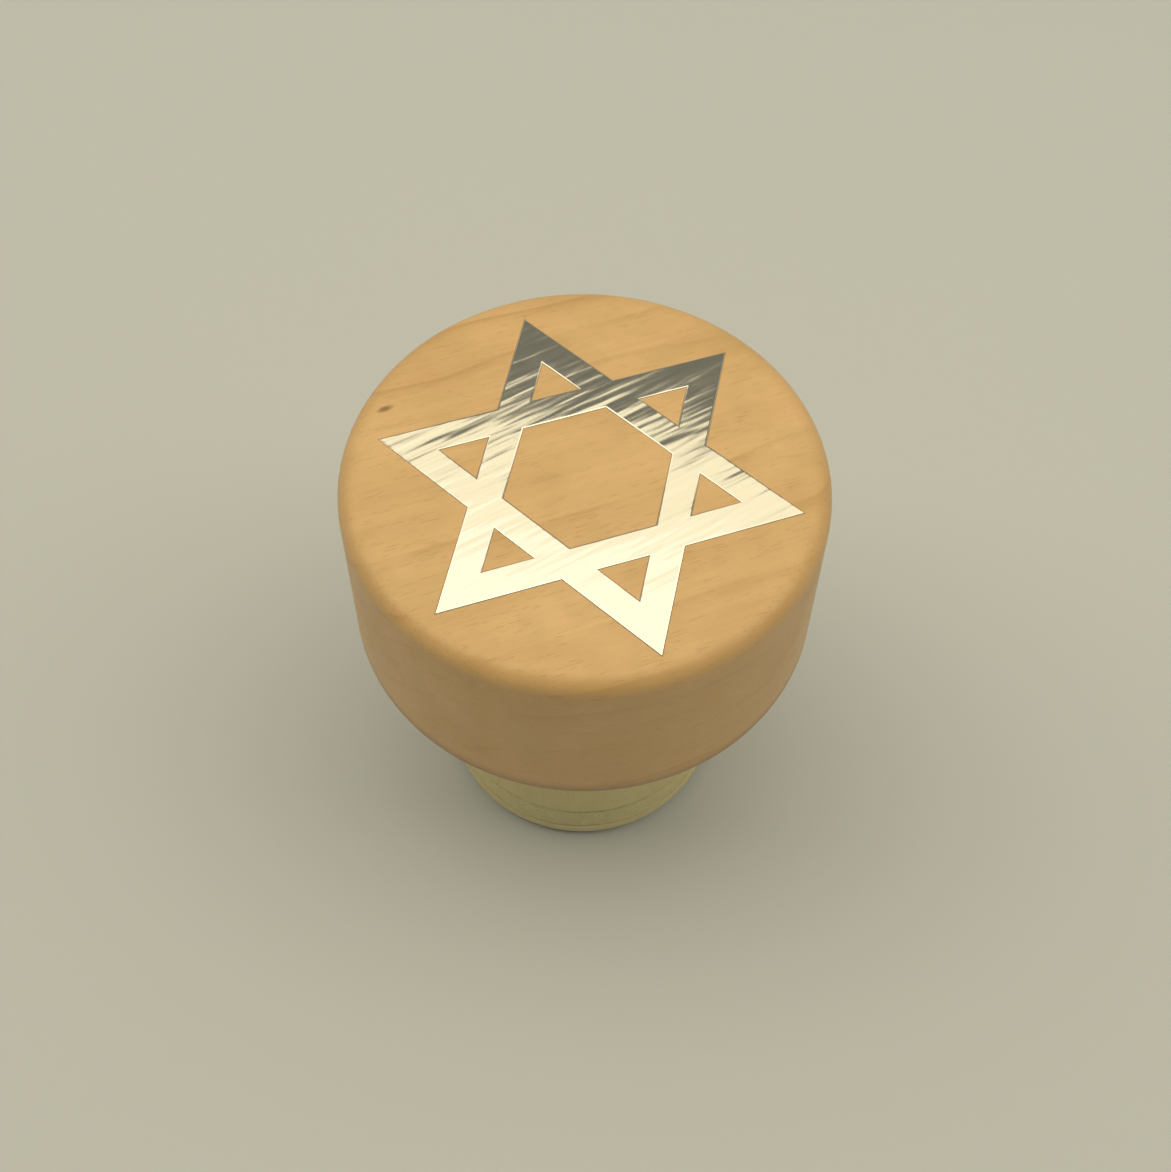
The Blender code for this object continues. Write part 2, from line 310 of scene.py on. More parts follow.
@dataclass(frozen=True)
class WoodPattern:
    """The noises and strengths that every wood of the stamp is drawn with."""

    ring_drift: Pattern = Pattern((0.05, 0.11, 0.11), 2.0)
    ring_breaks: Pattern = Pattern((0.09, 0.5, 0.5), 2.0)
    fibres: Pattern = Pattern((0.12, 2.6, 2.6), 4.0, 0.6)
    clouds: Pattern = Pattern((0.1, 0.22, 0.22), 2.5)
    pores: Pattern = Pattern((0.9, 8.0, 8.0), 2.0, 0.5)
    late_wood_sharpness: float = 7.0
    late_wood_end: float = 0.93
    faintest_ring: float = 0.25
    cloud_share: float = 0.9
    pore_share: float = 0.24
    pore_depth: float = 0.8
    middle_tone: float = 0.22

    def group(self) -> bpy.types.NodeTree:
        """Build the group that paints solid wood.

        It reads a vector in millimetres whose X runs along the grain. The growth
        rings are cylinders about a line parallel to X, at Ring Y and Ring Z.

        Returns:
            The group.
        """
        tree, given, out = new_group(
            "solid_wood",
            "ShaderNodeTree",
            {
                "Vector": "NodeSocketVector",
                "Ring Y": -30.0,
                "Ring Z": -25.0,
                "Ring Spacing": 2.0,
                "Waviness": 1.0,
                "Ring Contrast": 0.4,
                "Fibre Contrast": 0.3,
                "Light": (0.8, 0.6, 0.4),
                "Dark": (0.5, 0.3, 0.15),
            },
            {"Color": "NodeSocketColor", "Height": "NodeSocketFloat", "Pores": "NodeSocketFloat"},
        )
        place = given["Vector"]
        rings = self.rings(tree, given)
        fibre = self.fibres.read(tree, place)
        streaks = tree.times(tree.minus(fibre, 0.5), given["Fibre Contrast"])
        cloud = self.clouds.read(tree, place)
        mottle = tree.times(tree.minus(cloud, 0.5), self.cloud_share)
        pores = tree.ramp(self.pores.read(tree, place), 0.60, 0.70)
        tone = tree.plus(tree.plus(rings, streaks), mottle)
        tone = tree.plus(tone, self.middle_tone)
        tone = tree.plus(tone, tree.times(pores, self.pore_share), clamp=True)
        tree.feed(out.inputs["Color"], tree.mix(tone, given["Light"], given["Dark"]))
        tree.feed(out.inputs["Height"], tree.minus(fibre, tree.times(pores, self.pore_depth)))
        tree.feed(out.inputs["Pores"], pores)
        return tree.tree

    def rings(self, tree: Tree, given: dict[str, Socket]) -> Socket:
        """Draw the dark late wood of each growth ring.

        Args:
            tree: the group's tree.
            given: the group's inputs.

        Returns:
            How dark the late wood is at each place.
        """
        place = given["Vector"]
        drift = self.ring_drift.read(tree, place)
        shift = tree.times(tree.minus(drift, 0.5), given["Waviness"])
        _, y, z = tree.split(place)
        radius = tree.length(tree.minus(y, given["Ring Y"]), tree.minus(z, given["Ring Z"]))
        phase = tree.over(tree.plus(radius, shift), given["Ring Spacing"])
        year = tree.math("FRACT", phase)
        sharpened = tree.math("POWER", year, self.late_wood_sharpness)
        line = tree.times(sharpened, tree.ramp(year, 1.0, self.late_wood_end))
        each = tree.node("ShaderNodeTexWhiteNoise", noise_dimensions="1D")
        tree.feed(each.inputs["W"], tree.math("FLOOR", phase))
        broken = tree.ramp(self.ring_breaks.read(tree, place), 0.36, 0.62)
        strength = tree.times(tree.plus(self.faintest_ring, each.outputs[0]), broken)
        return tree.times(tree.times(line, strength), given["Ring Contrast"])


def handling_group() -> bpy.types.NodeTree:
    """Build the group for fine dust and handling marks.

    Returns:
        The group, whose masks vary over a surface.
    """
    specks_per_smudge = 22.0
    tree, given, out = new_group(
        "handling_marks",
        "ShaderNodeTree",
        {"Vector": "NodeSocketVector", "Size": 3.0, "Amount": 0.5},
        {"Smudge": "NodeSocketFloat", "Speck": "NodeSocketFloat"},
    )
    scale = tree.over(1.0, given["Size"])
    smudge = tree.ramp(tree.noise(given["Vector"], scale, 4.0, 0.6), 0.42, 0.7)
    fine = tree.noise(given["Vector"], tree.times(scale, specks_per_smudge), 2.0, 0.5)
    speck = tree.ramp(fine, 0.68, 0.76)
    tree.feed(out.inputs["Smudge"], tree.times(smudge, given["Amount"]))
    tree.feed(out.inputs["Speck"], tree.times(speck, given["Amount"]))
    return tree.tree


def edge_group() -> bpy.types.NodeTree:
    """Build the group that marks an edge at a height: painted shade at the head's lower edge, and a
    stain at the stem's foot.

    Returns:
        The group, whose mask is 1 at the edge and fades unevenly away from it.
    """
    wander = Pattern((0.9, 0.9, 0.9))
    tree, given, out = new_group(
        "edge_shade_and_stain",
        "ShaderNodeTree",
        {"Vector": "NodeSocketVector", "Height": 0.0, "Width": 1.0, "Unevenness": 0.3},
        {"Mask": "NodeSocketFloat"},
    )
    _, _, z = tree.split(given["Vector"])
    ragged = tree.minus(wander.read(tree, given["Vector"]), 0.5)
    level = tree.plus(z, tree.times(ragged, given["Unevenness"]))
    away = tree.apart(level, given["Height"])
    tree.feed(out.inputs["Mask"], tree.ramp(away, given["Width"], 0.0))
    return tree.tree


WOOD = WoodPattern().group()
HANDLING = handling_group()
EDGE = edge_group()


# ------------------------------------------------------------------ finishes


class GrainRun(Enum):
    """Which way the fibres of a wooden piece run."""

    UNTURNED = Euler((0.0, 0.0, 0.0))
    ACROSS_TOP = Euler((0.0, 0.0, math.radians(-21.0)))
    FOIL_RIPPLES = Euler((0.0, 0.0, math.radians(-32.0)))
    UP_THE_STEM = Euler((0.0, math.radians(90.0), math.radians(3.0)))


class Surface:
    """A material being made: its tree, its Principled shader and its coordinates."""

    def __init__(self, name: str, run: GrainRun = GrainRun.UNTURNED) -> None:
        """Start a material whose pattern is laid out in millimetres.

        Args:
            name: the material's name.
            run: how the pattern is turned on the piece.
        """
        self.material = bpy.data.materials.new(name)
        self.material.use_nodes = True
        self.tree = Tree(self.material.node_tree)
        self.shader = self.material.node_tree.nodes["Principled BSDF"]
        coordinates = self.tree.node("ShaderNodeTexCoord").outputs["Object"]
        mapping = self.tree.node("ShaderNodeMapping")
        self.tree.feed(mapping.inputs["Vector"], coordinates)
        mapping.inputs["Rotation"].default_value = run.value
        mapping.inputs["Scale"].default_value = (1 / MM, 1 / MM, 1 / MM)
        self.place = mapping.outputs[0]
        upright = self.tree.node("ShaderNodeVectorMath", operation="SCALE")
        self.tree.feed_all(upright, {"Vector": coordinates, "Scale": 1 / MM})
        self.upright = upright.outputs[0]

    def set(self, **values: object) -> None:
        """Set or link the shader's sockets, named with _ for a space."""
        self.tree.feed_all(self.shader, {name.replace("_", " "): values[name] for name in values})

    def group(self, group: bpy.types.NodeTree, **values: object) -> dict[str, Socket]:
        """Place a node group.

        Args:
            group: the group.
            values: what its inputs take, named with _ for a space.

        Returns:
            Its outputs by name.
        """
        node = self.tree.node("ShaderNodeGroup", node_tree=group)
        self.tree.feed_all(node, {name.replace("_", " "): values[name] for name in values})
        return dict(node.outputs.items())

    def bump(self, height: object, depth: float) -> None:
        """Feed the shader's normal from a height.

        Args:
            height: a value between 0 and 1.
            depth: how deep that value is, in metres.
        """
        node = self.tree.node("ShaderNodeBump")
        self.tree.feed_all(node, {"Strength": 1.0, "Distance": depth, "Height": height})
        self.tree.feed(self.shader.inputs["Normal"], node.outputs[0])

    def rough(self, base: float, *marks: tuple[Socket, float]) -> Socket:
        """Add up a roughness.

        Args:
            base: the roughness where there are no marks.
            marks: each mask, and how much roughness it adds.

        Returns:
            The roughness.
        """
        total = base
        for mask, share in marks:
            total = self.tree.plus(total, self.tree.times(mask, share))
        return total

    def tinted(self, color: object, mask: Socket, share: float, tint: Color) -> Socket:
        """Return a colour tinted where a mask says, by a share of the mask."""
        return self.tree.mix(self.tree.times(mask, share), color, tint)

    def axis_distance(self) -> Socket:
        """Return the distance from the stamp's axis, in millimetres."""
        x, y, _ = self.tree.split(self.upright)
        return self.tree.length(x, y)


@dataclass(frozen=True)
class Grain:
    """One wood's colours, its growth rings and its fibres."""

    light: Color
    dark: Color
    ring_center: Point2
    ring_spacing: float
    waviness: float
    ring_contrast: float
    fibre_contrast: float

    def on(self, surface: Surface) -> dict[str, Socket]:
        """Place the wood group in a material.

        Args:
            surface: the material.

        Returns:
            The group's colour, height and pores.
        """
        return surface.group(
            WOOD,
            Vector=surface.place,
            Ring_Y=self.ring_center[0],
            Ring_Z=self.ring_center[1],
            Ring_Spacing=self.ring_spacing,
            Waviness=self.waviness,
            Ring_Contrast=self.ring_contrast,
            Fibre_Contrast=self.fibre_contrast,
            Light=self.light,
            Dark=self.dark,
        )


@dataclass(frozen=True)
class HoneyWood:
    """The oiled honey-coloured wood of the head, with painted shade along its lower edge."""

    grain: Grain = Grain(
        (0.83, 0.56, 0.285), (0.55, 0.32, 0.125), (-34.0, -12.0), 2.1, 2.4, 0.82, 0.40
    )
    clouds: Pattern = Pattern((0.36, 0.36, 0.05), 2.0)
    blotch: Color = (0.56, 0.40, 0.17)
    blotch_share: float = 0.24
    rim: Color = (0.60, 0.36, 0.13)
    rim_start: float = 13.3
    rim_end: float = 15.4
    rim_share: float = 0.5
    # painted shade: the head's lower edge is darkened where shade falls under its overhang
    foot_shade: Color = (0.33, 0.17, 0.08)
    foot_width: float = 1.7
    foot_share: float = 0.9
    knot_at: Point2 = (-12.4, 4.5)
    knot_turn: float = math.radians(-25.0)
    knot_squash: Triple = (1.0, 2.3, 0.6)
    knot_color: Color = (0.20, 0.10, 0.035)
    knot_share: float = 0.75
    knot_depth: float = 1.5
    relief: float = 0.012 * MM

    def material(self) -> bpy.types.Material:
        """Build the material.

        Returns:
            The finished material.
        """
        surface = Surface("honey_wood", GrainRun.ACROSS_TOP)
        tree = surface.tree
        wood = self.grain.on(surface)
        blotch = tree.ramp(self.clouds.read(tree, surface.upright), 0.42, 0.68)
        color = surface.tinted(wood["Color"], blotch, self.blotch_share, self.blotch)
        rim = tree.ramp(surface.axis_distance(), self.rim_start, self.rim_end)
        color = surface.tinted(color, rim, self.rim_share, self.rim)
        # Painted shade: darken the head's lower edge, where shade falls beneath the overhang.
        foot_height = levels("handle_head")[0] / MM
        foot = surface.group(
            EDGE, Vector=surface.upright, Height=foot_height, Width=self.foot_width
        )
        color = surface.tinted(color, foot["Mask"], self.foot_share, self.foot_shade)
        knot = self.knot_mask(surface)
        color = surface.tinted(color, knot, self.knot_share, self.knot_color)
        marks = surface.group(HANDLING, Vector=surface.place, Size=4.0, Amount=0.5)
        rough = surface.rough(0.40, (marks["Smudge"], 0.22), (wood["Pores"], 0.2))
        surface.set(Base_Color=color, Roughness=rough, Coat_Weight=0.12, Coat_Roughness=0.3)
        surface.bump(tree.minus(wood["Height"], tree.times(knot, self.knot_depth)), self.relief)
        return surface.material

    def knot_mask(self, surface: Surface) -> Socket:
        """Mark the small dark pin knot near the rim of the top.

        Args:
            surface: the material being made.

        Returns:
            1 in the knot, 0 elsewhere.
        """
        tree = surface.tree
        top = levels("handle_head")[1] / MM
        away = tree.vector("SUBTRACT", surface.upright, (*self.knot_at, top))
        lean = tree.node("ShaderNodeVectorRotate", rotation_type="Z_AXIS")
        tree.feed_all(lean, {"Vector": away, "Angle": self.knot_turn})
        squashed = tree.vector("MULTIPLY", lean.outputs[0], self.knot_squash)
        ragged = tree.times(Pattern((3.0, 3.0, 3.0)).read(tree, surface.upright), 0.35)
        length = tree.node("ShaderNodeVectorMath", operation="LENGTH")
        tree.feed(length.inputs[0], squashed)
        return tree.ramp(tree.plus(length.outputs["Value"], ragged), 0.86, 0.36)


@dataclass(frozen=True)
class PaleWood:
    """The pale, unfinished wood of the stem."""

    grain: Grain = Grain(
        (0.765, 0.68, 0.37), (0.585, 0.47, 0.22), (-16.0, 9.0), 1.5, 1.2, 0.32, 0.34
    )
    stain: Color = (0.50, 0.38, 0.19)
    stain_width: float = 0.7
    stain_share: float = 0.12
    relief: float = 0.02 * MM

    def material(self) -> bpy.types.Material:
        """Build the material.

        Returns:
            The finished material.
        """
        surface = Surface("pale_wood", GrainRun.UP_THE_STEM)
        wood = self.grain.on(surface)
        marks = surface.group(HANDLING, Vector=surface.place, Size=5.0, Amount=0.3)
        foot_height = levels("stem")[0] / MM
        foot = surface.group(
            EDGE, Vector=surface.upright, Height=foot_height, Width=self.stain_width
        )
        color = surface.tinted(wood["Color"], foot["Mask"], self.stain_share, self.stain)
        surface.set(Base_Color=color, Roughness=surface.rough(0.6, (marks["Smudge"], 0.2)))
        surface.bump(wood["Height"], self.relief)
        return surface.material


@dataclass(frozen=True)
class SilverFoil:
    """Mirror foil pressed on wood, whose fibres still show as fine ripples in it."""

    color: Color = (0.95, 0.945, 0.92)
    dull: Color = (0.72, 0.66, 0.54)
    long_ripples: Pattern = Pattern((0.12, 0.8, 0.8), 1.0, 0.5)
    short_ripples: Pattern = Pattern((0.25, 2.0, 2.0), 1.0, 0.5)
    short_share: float = 0.5
    relief: float = 0.026 * MM

    def material(self) -> bpy.types.Material:
        """Build the material.

        Returns:
            The finished material.
        """
        surface = Surface("silver_foil", GrainRun.FOIL_RIPPLES)
        tree = surface.tree
        short = tree.times(self.short_ripples.read(tree, surface.place), self.short_share)
        ripple = tree.plus(self.long_ripples.read(tree, surface.place), short)
        marks = surface.group(HANDLING, Vector=surface.place, Size=2.5, Amount=0.5)
        rough = surface.rough(0.085, (marks["Smudge"], 0.06), (marks["Speck"], 0.12))
        color = tree.mix(marks["Speck"], self.color, self.dull)
        surface.set(Base_Color=color, Metallic=1.0, Roughness=rough)
        surface.bump(ripple, self.relief)
        return surface.material


@dataclass(frozen=True)
class MachinedMetal:
    """A turned metal with fine tool marks round the axis."""

    name: str
    color: Color
    tarnish: Color
    roughness: float
    tool_marks: Pattern = Pattern((0.4, 0.4, 18.0), 2.0)
    relief: float = 0.004 * MM

    def material(self) -> bpy.types.Material:
        """Build the material.

        Returns:
            The finished material.
        """
        surface = Surface(self.name)
        marks = surface.group(HANDLING, Vector=surface.place, Size=1.6, Amount=0.8)
        lines = self.tool_marks.read(surface.tree, surface.place)
        color = surface.tree.mix(marks["Smudge"], self.color, self.tarnish)
        rough = surface.rough(self.roughness, (lines, 0.18))
        surface.set(Base_Color=color, Metallic=1.0, Roughness=rough)
        surface.bump(lines, self.relief)
        return surface.material


@dataclass(frozen=True)
class FibreBoard:
    """Pressed red-brown fibre of the washer."""

    light: Color = (0.26, 0.105, 0.06)
    dark: Color = (0.12, 0.045, 0.03)
    speck: Color = (0.42, 0.24, 0.15)
    threads: Pattern = Pattern((1.92, 1.92, 11.2), 5.0, 0.7)
    relief: float = 0.03 * MM

    def material(self) -> bpy.types.Material:
        """Build the material.

        Returns:
            The finished material.
        """
        surface = Surface("washer_fibre")
        tree = surface.tree
        threads = self.threads.read(tree, surface.place)
        marks = surface.group(HANDLING, Vector=surface.place, Size=1.2, Amount=0.6)
        color = tree.mix(tree.ramp(threads, 0.35, 0.68), self.dark, self.light)
        color = tree.mix(marks["Speck"], color, self.speck)
        surface.set(Base_Color=color, Roughness=surface.rough(0.6, (threads, 0.3)))
        surface.bump(threads, self.relief)
        return surface.material


@dataclass(frozen=True)
class AdhesiveFilm:
    """Clear-amber double-sided film, seen on its cut edge."""

    color: Color = (0.80, 0.70, 0.42)
    dusty: Color = (0.62, 0.54, 0.34)
    relief: float = 0.01 * MM

    def material(self) -> bpy.types.Material:
        """Build the material.

        Returns:
            The finished material.
        """
        surface = Surface("adhesive_film")
        marks = surface.group(HANDLING, Vector=surface.place, Size=1.0, Amount=0.9)
        dust = surface.tree.plus(marks["Smudge"], marks["Speck"], clamp=True)
        color = surface.tree.mix(dust, self.color, self.dusty)
        surface.set(Base_Color=color, Roughness=surface.rough(0.28, (dust, 0.4)))
        surface.bump(dust, self.relief)
        return surface.material


@dataclass(frozen=True)
class CushionFoam:
    """Fine closed-cell foam, cream, with painted shade in its cut cells."""

    light: Color = (0.84, 0.765, 0.45)
    cell_shade_and_mottle: Color = (0.64, 0.555, 0.30)
    cells_per_mm: float = 5.5
    cell_shade_share: float = 0.42
    clouds: Pattern = Pattern((0.5, 0.5, 0.5), 2.0)
    cloud_share: float = 0.25
    relief: float = 0.04 * MM

    def material(self) -> bpy.types.Material:
        """Build the material.

        Returns:
            The finished material.
        """
        surface = Surface("cushion_foam")
        tree = surface.tree
        cells = tree.node("ShaderNodeTexVoronoi", feature="DISTANCE_TO_EDGE")
        tree.feed_all(cells, {"Vector": surface.place, "Scale": self.cells_per_mm})
        hollow = tree.ramp(cells.outputs["Distance"], 0.02, 0.32)
        cloud = self.clouds.read(tree, surface.place)
        # Painted shade: each cut cell's hollow is darkened where shade falls in it; the cloud tint
        # after it is the foam's own uneven tone.
        color = surface.tinted(self.light, hollow, self.cell_shade_share, self.cell_shade_and_mottle)
        color = surface.tinted(color, cloud, self.cloud_share, self.cell_shade_and_mottle)
        surface.set(Base_Color=color, Roughness=surface.rough(0.8, (cloud, 0.15)))
        surface.bump(tree.minus(1.0, hollow), self.relief)
        return surface.material


@dataclass(frozen=True)
class DieRubber:
    """Pale tan gum rubber of the moulded die."""

    color: Color = (0.72, 0.63, 0.37)
    bloom: Color = (0.78, 0.70, 0.46)
    speck: Color = (0.24, 0.15, 0.09)
    matte: Pattern = Pattern((9.0, 9.0, 9.0), 3.0, 0.6)
    relief: float = 0.012 * MM

    def material(self) -> bpy.types.Material:
        """Build the material.

        Returns:
            The finished material.
        """
        surface = Surface("die_rubber")
        tree = surface.tree
        marks = surface.group(HANDLING, Vector=surface.place, Size=3.2, Amount=0.75)
        color = tree.mix(marks["Smudge"], self.color, self.bloom)
        color = tree.mix(marks["Speck"], color, self.speck)
        surface.set(Base_Color=color, Roughness=surface.rough(0.52, (marks["Smudge"], 0.25)))
        surface.bump(self.matte.read(tree, surface.place), self.relief)
        return surface.material


@dataclass(frozen=True)
class PaleFloor:
    """The plain pale floor of the studio, which fades into the backdrop far from the stamp."""

    color: Color = (0.62, 0.67, 0.73)
    shade: Color = (0.56, 0.60, 0.65)
    shade_share: float = 0.12
    clouds: Pattern = Pattern((0.02, 0.02, 0.02), 2.0)
    fade_start: float = 0.13
    fade_end: float = 0.40

    def material(self) -> bpy.types.Material:
        """Build the material.

        Returns:
            The finished material.
        """
        surface = Surface("pale_floor")
        tree = surface.tree
        cloud = self.clouds.read(tree, surface.place)
        color = surface.tinted(self.color, cloud, self.shade_share, self.shade)
        lit = tree.ramp(surface.axis_distance(), self.fade_end / MM, self.fade_start / MM)
        surface.set(Base_Color=color, Roughness=0.85, Alpha=lit)
        return surface.material


# ------------------------------------------------------------ building tools


@dataclass(frozen=True)
class StarPattern:
    """Two overlapping triangle frames that make a six-pointed star.

    The tips lie on a circle about the centre, and the bars keep one width.
    """

    tip_radius: float
    band: float
    center: Point2 = (0.0, 0.0)
    turn: float = math.radians(48.9)
    points: int = 6

    def polar(self, radius: float, angle: float) -> Point2:
        """Return the point at a radius and angle about the star's centre."""
        x, y = self.center
        return x + radius * math.cos(angle), y + radius * math.sin(angle)

    def inset(self, depth: float) -> "StarPattern":
        """Return the same star with its bars narrower by a depth on either side."""
        return replace(self, tip_radius=self.tip_radius - 2 * depth, band=self.band - 2 * depth)

    def radii(self) -> tuple[float, float, float, float, float]:
        """Work out the sizes that the outlines are drawn from.

        Returns:
            The radius of a notch, of a corner of the middle hexagon, of the tip
            of a small hole and of its base corners, and the angle from the tip
            to a base corner.
        """
        side = self.tip_radius / 2
        lean = math.pi / self.points
        hole_tip = self.tip_radius - 2 * self.band
        half_base = (hole_tip - side) * math.tan(lean)
        return (
            side / math.cos(lean),
            (side - self.band) / math.cos(lean),
            hole_tip,
            math.hypot(side, half_base),
            math.atan2(half_base, side),
        )

    def loops(self) -> list[list[Point2]]:
        """Draw the star.

        Returns:
            The outer outline, the middle hexagon and the small holes.
        """
        notch_radius, hexagon_radius, hole_tip, hole_base, spread = self.radii()
        step = 2 * math.pi / self.points
        outline, hexagon, holes = [], [], []
        for point in range(self.points):
            tip = self.turn + step * point
            outline += [self.polar(self.tip_radius, tip), self.polar(notch_radius, tip + step / 2)]
            hexagon.append(self.polar(hexagon_radius, tip + step / 2))
            corners = ((hole_tip, 0.0), (hole_base, spread), (hole_base, -spread))
            holes.append([self.polar(radius, tip + angle) for radius, angle in corners])
        return [outline, hexagon, *holes]


@dataclass(frozen=True)
class StarStep:
    """One level of a star that rises from, or sinks into, a flat face."""

    inset: float
    height: float


class Shell:
    """A closed mesh about the Z axis, built ring by ring."""

    def __init__(self, name: str) -> None:
        """Start an empty mesh."""
        self.name = name
        self.mesh = bmesh.new()

    def ring(self, radius: float, height: float, segments: int) -> list[Vertex]:
        """Add a circle of points, or the one point on the axis.

        Args:
            radius: the circle's radius, 0 on the axis.
            height: where it is along Z.
            segments: how many points it has.

        Returns:
            Its vertices.
        """
        if radius == 0.0:
            return [self.mesh.verts.new((0.0, 0.0, height))]
        angles = [2 * math.pi * step / segments for step in range(segments)]
        return [
            self.mesh.verts.new((radius * math.cos(angle), radius * math.sin(angle), height))
            for angle in angles
        ]

    def bridge(self, first: list[Vertex], second: list[Vertex]) -> None:
        """Join two rings, either of which may be a single point on the axis.

        Args:
            first: one ring.
            second: the other.
        """
        count = max(len(first), len(second))
        for step in range(count):
            after = (step + 1) % count
            corners = [first[step % len(first)], first[after % len(first)]]
            corners += [second[after % len(second)], second[step % len(second)]]
            self.mesh.faces.new(dict.fromkeys(corners))

    def turned(
        self, profile: list[Point2], segments: int, closed: bool = False
    ) -> list[list[Vertex]]:
        """Turn a profile about the axis.

        Args:
            profile: points (radius, height) down the outer side.
            segments: how many steps there are round the axis.
            closed: whether the profile's last point joins its first.

        Returns:
            The rings, in the order of the profile.
        """
        rings = [self.ring(radius, height, segments) for radius, height in profile]
        for first, second in zip(rings, rings[1:]):
            self.bridge(first, second)
        if closed:
            self.bridge(rings[-1], rings[0])
        return rings

    def outline(self, loop: list[Point2], height: float) -> list[Vertex]:
        """Add a flat loop of points at a height."""
        return [self.mesh.verts.new((x, y, height)) for x, y in loop]

    def fill(self, *loops: list[Vertex]) -> None:
        """Fill a flat face.

        Args:
            loops: the loop that bounds it, then the holes in it.
        """
        flat = [vertex for loop in loops for vertex in loop]
        shapes = [[vertex.co.copy() for vertex in loop] for loop in loops]
        for corners in tessellate_polygon(shapes):
            self.mesh.faces.new([flat[corner] for corner in corners])

    def star_steps(self, star: StarPattern, steps: list[StarStep]) -> list[list[Vertex]]:
        """Add the walls of a star through its levels, and close it at the last one.

        Args:
            star: the star's outlines at no inset.
            steps: its levels, from the face that it stands on.

        Returns:
            The loops of the first level, which are still open.
        """
        tiers = []
        for step in steps:
            loops = star.inset(step.inset).loops()
            tiers.append([self.outline(loop, step.height) for loop in loops])
        for upper, lower in zip(tiers, tiers[1:]):
            for first, second in zip(upper, lower):
                self.bridge(first, second)
        self.fill(*tiers[-1])
        return tiers[0]

    def face_with_star(
        self, rim: list[Vertex], star: StarPattern, steps: list[StarStep]
    ) -> None:
        """Close a flat round face with a star raised from it or sunk into it.

        Args:
            rim: the circle round the face.
            star: the star's outlines where it meets the face.
            steps: the star's levels, the first of them in the face.
        """
        outline, *inner = self.star_steps(star, steps)
        self.fill(rim, outline)
        for loop in inner:
            self.fill(loop)

    def finish(self, sharp_angle: float = SHARP_ANGLE) -> bpy.types.Object:
        """Make the mesh an object in the scene.

        Args:
            sharp_angle: edges that turn by more degrees than this stay sharp.

        Returns:
            The object, at the origin.
        """
        bmesh.ops.recalc_face_normals(self.mesh, faces=self.mesh.faces)
        mesh = bpy.data.meshes.new(self.name)
        self.mesh.to_mesh(mesh)
        self.mesh.free()
        mesh.shade_smooth()
        mesh.set_sharp_from_angle(angle=math.radians(sharp_angle))
        piece = bpy.data.objects.new(self.name, mesh)
        bpy.context.scene.collection.objects.link(piece)
        return piece


def rounded(center: Point2, radius: float, start: float, end: float, steps: int) -> list[Point2]:
    """Lay out points (radius, height) on a rounded edge.

    Args:
        center: the centre of the rounding.
        radius: its radius.
        start: the first point's angle, in degrees.
        end: the last point's angle.
        steps: how many steps there are between them.

    Returns:
        The points, both ends among them.
    """
    x, z = center
    angles = [math.radians(start + (end - start) * step / steps) for step in range(steps + 1)]
    return [(x + radius * math.cos(angle), z + radius * math.sin(angle)) for angle in angles]


def straight(start: Point2, end: Point2, steps: int) -> list[Point2]:
    """Lay out evenly spaced points on a straight run of a profile.

    Args:
        start: the first point.
        end: the last point.
        steps: how many steps there are between them.

    Returns:
        The points, both ends among them.
    """
    (x, z), (end_x, end_z) = start, end
    shares = [step / steps for step in range(steps + 1)]
    return [(x + (end_x - x) * share, z + (end_z - z) * share) for share in shares]


def dress(
    piece: bpy.types.Object, material: bpy.types.Material, body: str, slot: str, *nodes: str
) -> None:
    """Give a piece its finish, its body and the CAD nodes that it stands for.

    Args:
        piece: the finished piece.
        material: its finish.
        body: the CAD body that it moves with.
        slot: the record's material slot; not used.
        nodes: the CAD nodes that it replaces.
    """
    piece.data.materials.clear()
    piece.data.materials.append(material)
    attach(piece, body)
    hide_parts(*nodes)
    triangles = sum(len(face.vertices) - 2 for face in piece.data.polygons)
    LOG.info("%s: %d triangles, rides %s", piece.name, triangles, body)


def levels(node: str) -> tuple[float, float, float]:
    """Return the lowest height, the highest height and the radius of a CAD node."""
    low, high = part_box(node)
    return low.z, high.z, (high.x - low.x) / 2


def cleaned(piece: bpy.types.Object, sharp_angle: float = SHARP_ANGLE) -> bpy.types.Object:
    """Close the slivers that cutting leaves, turn the faces outwards and mark the sharp edges.

    Args:
        piece: the piece, whose mesh is changed.
        sharp_angle: the least angle in degrees between two faces that stays sharp.

    Returns:
        The same piece.
    """
    mesh = bmesh.new()
    mesh.from_mesh(piece.data)
    bmesh.ops.triangulate(mesh, faces=mesh.faces)
    bmesh.ops.remove_doubles(mesh, verts=mesh.verts, dist=MERGE_REACH)
    twins: dict[frozenset[int], list[bmesh.types.BMFace]] = {}
    mesh.verts.index_update()
    for face in mesh.faces:
        twins.setdefault(frozenset(vertex.index for vertex in face.verts), []).append(face)
    folded = [face for faces in twins.values() if len(faces) > 1 for face in faces]
    bmesh.ops.delete(mesh, geom=folded, context="FACES")
    fins = {face for edge in mesh.edges if edge.is_boundary for face in edge.link_faces}
    bmesh.ops.delete(mesh, geom=list(fins), context="FACES")
    bmesh.ops.recalc_face_normals(mesh, faces=mesh.faces)
    mesh.to_mesh(piece.data)
    mesh.free()
    piece.data.shade_smooth()
    piece.data.set_sharp_from_angle(angle=math.radians(sharp_angle))
    return piece


# ------------------------------------------------------------ geometry trees


def set_inputs(modifier: bpy.types.NodesModifier, values: dict[str, object]) -> None:
    """Set a modifier's inputs by name, through their identifiers.

    Args:
        modifier: the Geometry Nodes modifier.
        values: the value of each named input.
    """
    for item in modifier.node_group.interface.items_tree:
        if item.item_type == "SOCKET" and item.in_out == "INPUT" and item.name in values:
            modifier[item.identifier] = values[item.name]


